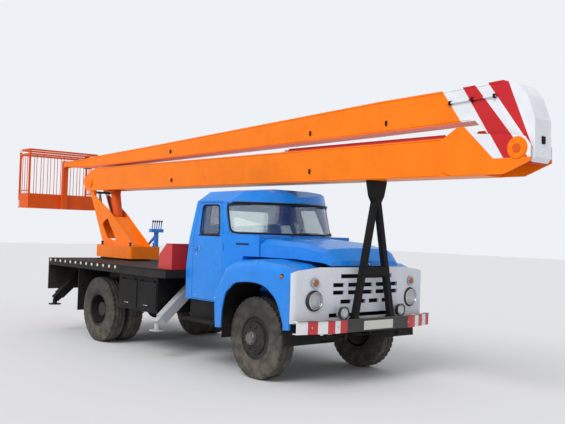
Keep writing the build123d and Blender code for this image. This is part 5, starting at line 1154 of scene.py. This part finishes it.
class LORRY_OT_stage(bpy.types.Operator):
    """Floor, lights and the camera at the photograph's place"""

    bl_idname = "lorry.stage"
    bl_label = "Stage"

    def execute(self, context):
        scene = context.scene
        yaw, pitch, roll = (math.radians(v) for v in (CAMERA_YAW, CAMERA_PITCH, CAMERA_ROLL))
        forward = np.array((math.cos(yaw) * math.cos(pitch), math.sin(yaw) * math.cos(pitch), math.sin(pitch)))
        right = unit(np.cross(forward, (0, 0, 1.0)))
        down = np.cross(forward, right)
        turned_right = math.cos(roll) * right + math.sin(roll) * down
        turned_down = -math.sin(roll) * right + math.cos(roll) * down
        view = bpy.data.cameras.new("view")
        view.sensor_width = SENSOR_WIDTH
        view.lens = FOCAL_PIXELS / PICTURE_WIDTH * SENSOR_WIDTH
        view.clip_end = 200.0
        camera = bpy.data.objects.new("view", view)
        scene.collection.objects.link(camera)
        columns = np.column_stack((turned_right, -turned_down, -forward, CAMERA_PLACE))
        camera.matrix_world = Matrix((*columns.tolist(), (0, 0, 0, 1)))
        scene.camera = camera

        corners = [(x * FLOOR_REACH, y * FLOOR_REACH, 0) for x, y in ((-1, -1), (1, -1), (1, 1), (-1, 1))]
        mesh = bpy.data.meshes.new("floor")
        mesh.from_pydata(corners, [], [(0, 1, 2, 3)])
        floor = bpy.data.objects.new("floor", mesh)
        scene.collection.objects.link(floor)
        ground, _, shader = new_finish("Pale Floor")
        shader["Base Color"].default_value = (0.70, 0.70, 0.70, 1)
        shader["Roughness"].default_value = 0.9
        mesh.materials.append(ground)

        light = bpy.data.lights.new("soft_key", "SUN")
        light.energy = 1.9
        light.angle = math.radians(35)
        sun = bpy.data.objects.new("soft_key", light)
        scene.collection.objects.link(sun)
        sun.rotation_euler = (math.radians(48), 0, math.radians(15))
        world = bpy.data.worlds.new("sky")
        scene.world = world
        world.use_nodes = True
        tree = world.node_tree
        sky = tree.nodes["Background"].inputs
        sky["Color"].default_value = (0.93, 0.96, 1.0, 1)
        paths = place(tree, "ShaderNodeLightPath").outputs
        seen = maths(tree, "MAXIMUM", paths["Is Camera Ray"], paths["Is Transmission Ray"])
        tree.links.new(remap(tree, seen, after=(0.72, 0.92)), sky["Strength"])
        scene.view_settings.view_transform = "Standard"
        return {"FINISHED"}


class LORRY_PT_panel(bpy.types.Panel):
    """Lists the lorry's pieces and its colours and sizes"""

    bl_label = "Platform Lorry"
    bl_idname = "LORRY_PT_panel"
    bl_space_type = "VIEW_3D"
    bl_region_type = "UI"
    bl_category = "Platform Lorry"

    def draw(self, context):
        look = context.scene.lorry_look
        for key in LorryLook.__annotations__:
            self.layout.prop(look, key)
        for operator in OPERATORS:
            self.layout.operator(operator.bl_idname)


OPERATORS = (
    LORRY_OT_finishes, LORRY_OT_tyres, LORRY_OT_wheel_fittings, LORRY_OT_front_lamps, LORRY_OT_cab_trim,
    LORRY_OT_front_trim, LORRY_OT_boom_fittings, LORRY_OT_basket_fittings, LORRY_OT_deck_fittings,
    LORRY_OT_turret_fittings, LORRY_OT_running_gear, LORRY_OT_stage,
)
CLASSES = (LorryLook, *OPERATORS, LORRY_PT_panel)


def register():
    for item in CLASSES:
        bpy.utils.register_class(item)
    bpy.types.Scene.lorry_look = bpy.props.PointerProperty(type=LorryLook)


def unregister():
    del bpy.types.Scene.lorry_look
    for item in reversed(CLASSES):
        bpy.utils.unregister_class(item)


def main():
    """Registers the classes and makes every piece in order."""
    register()
    for operator in OPERATORS:
        group, name = operator.bl_idname.split(".")
        getattr(getattr(bpy.ops, group), name)()


if __name__ == "__main__":
    main()
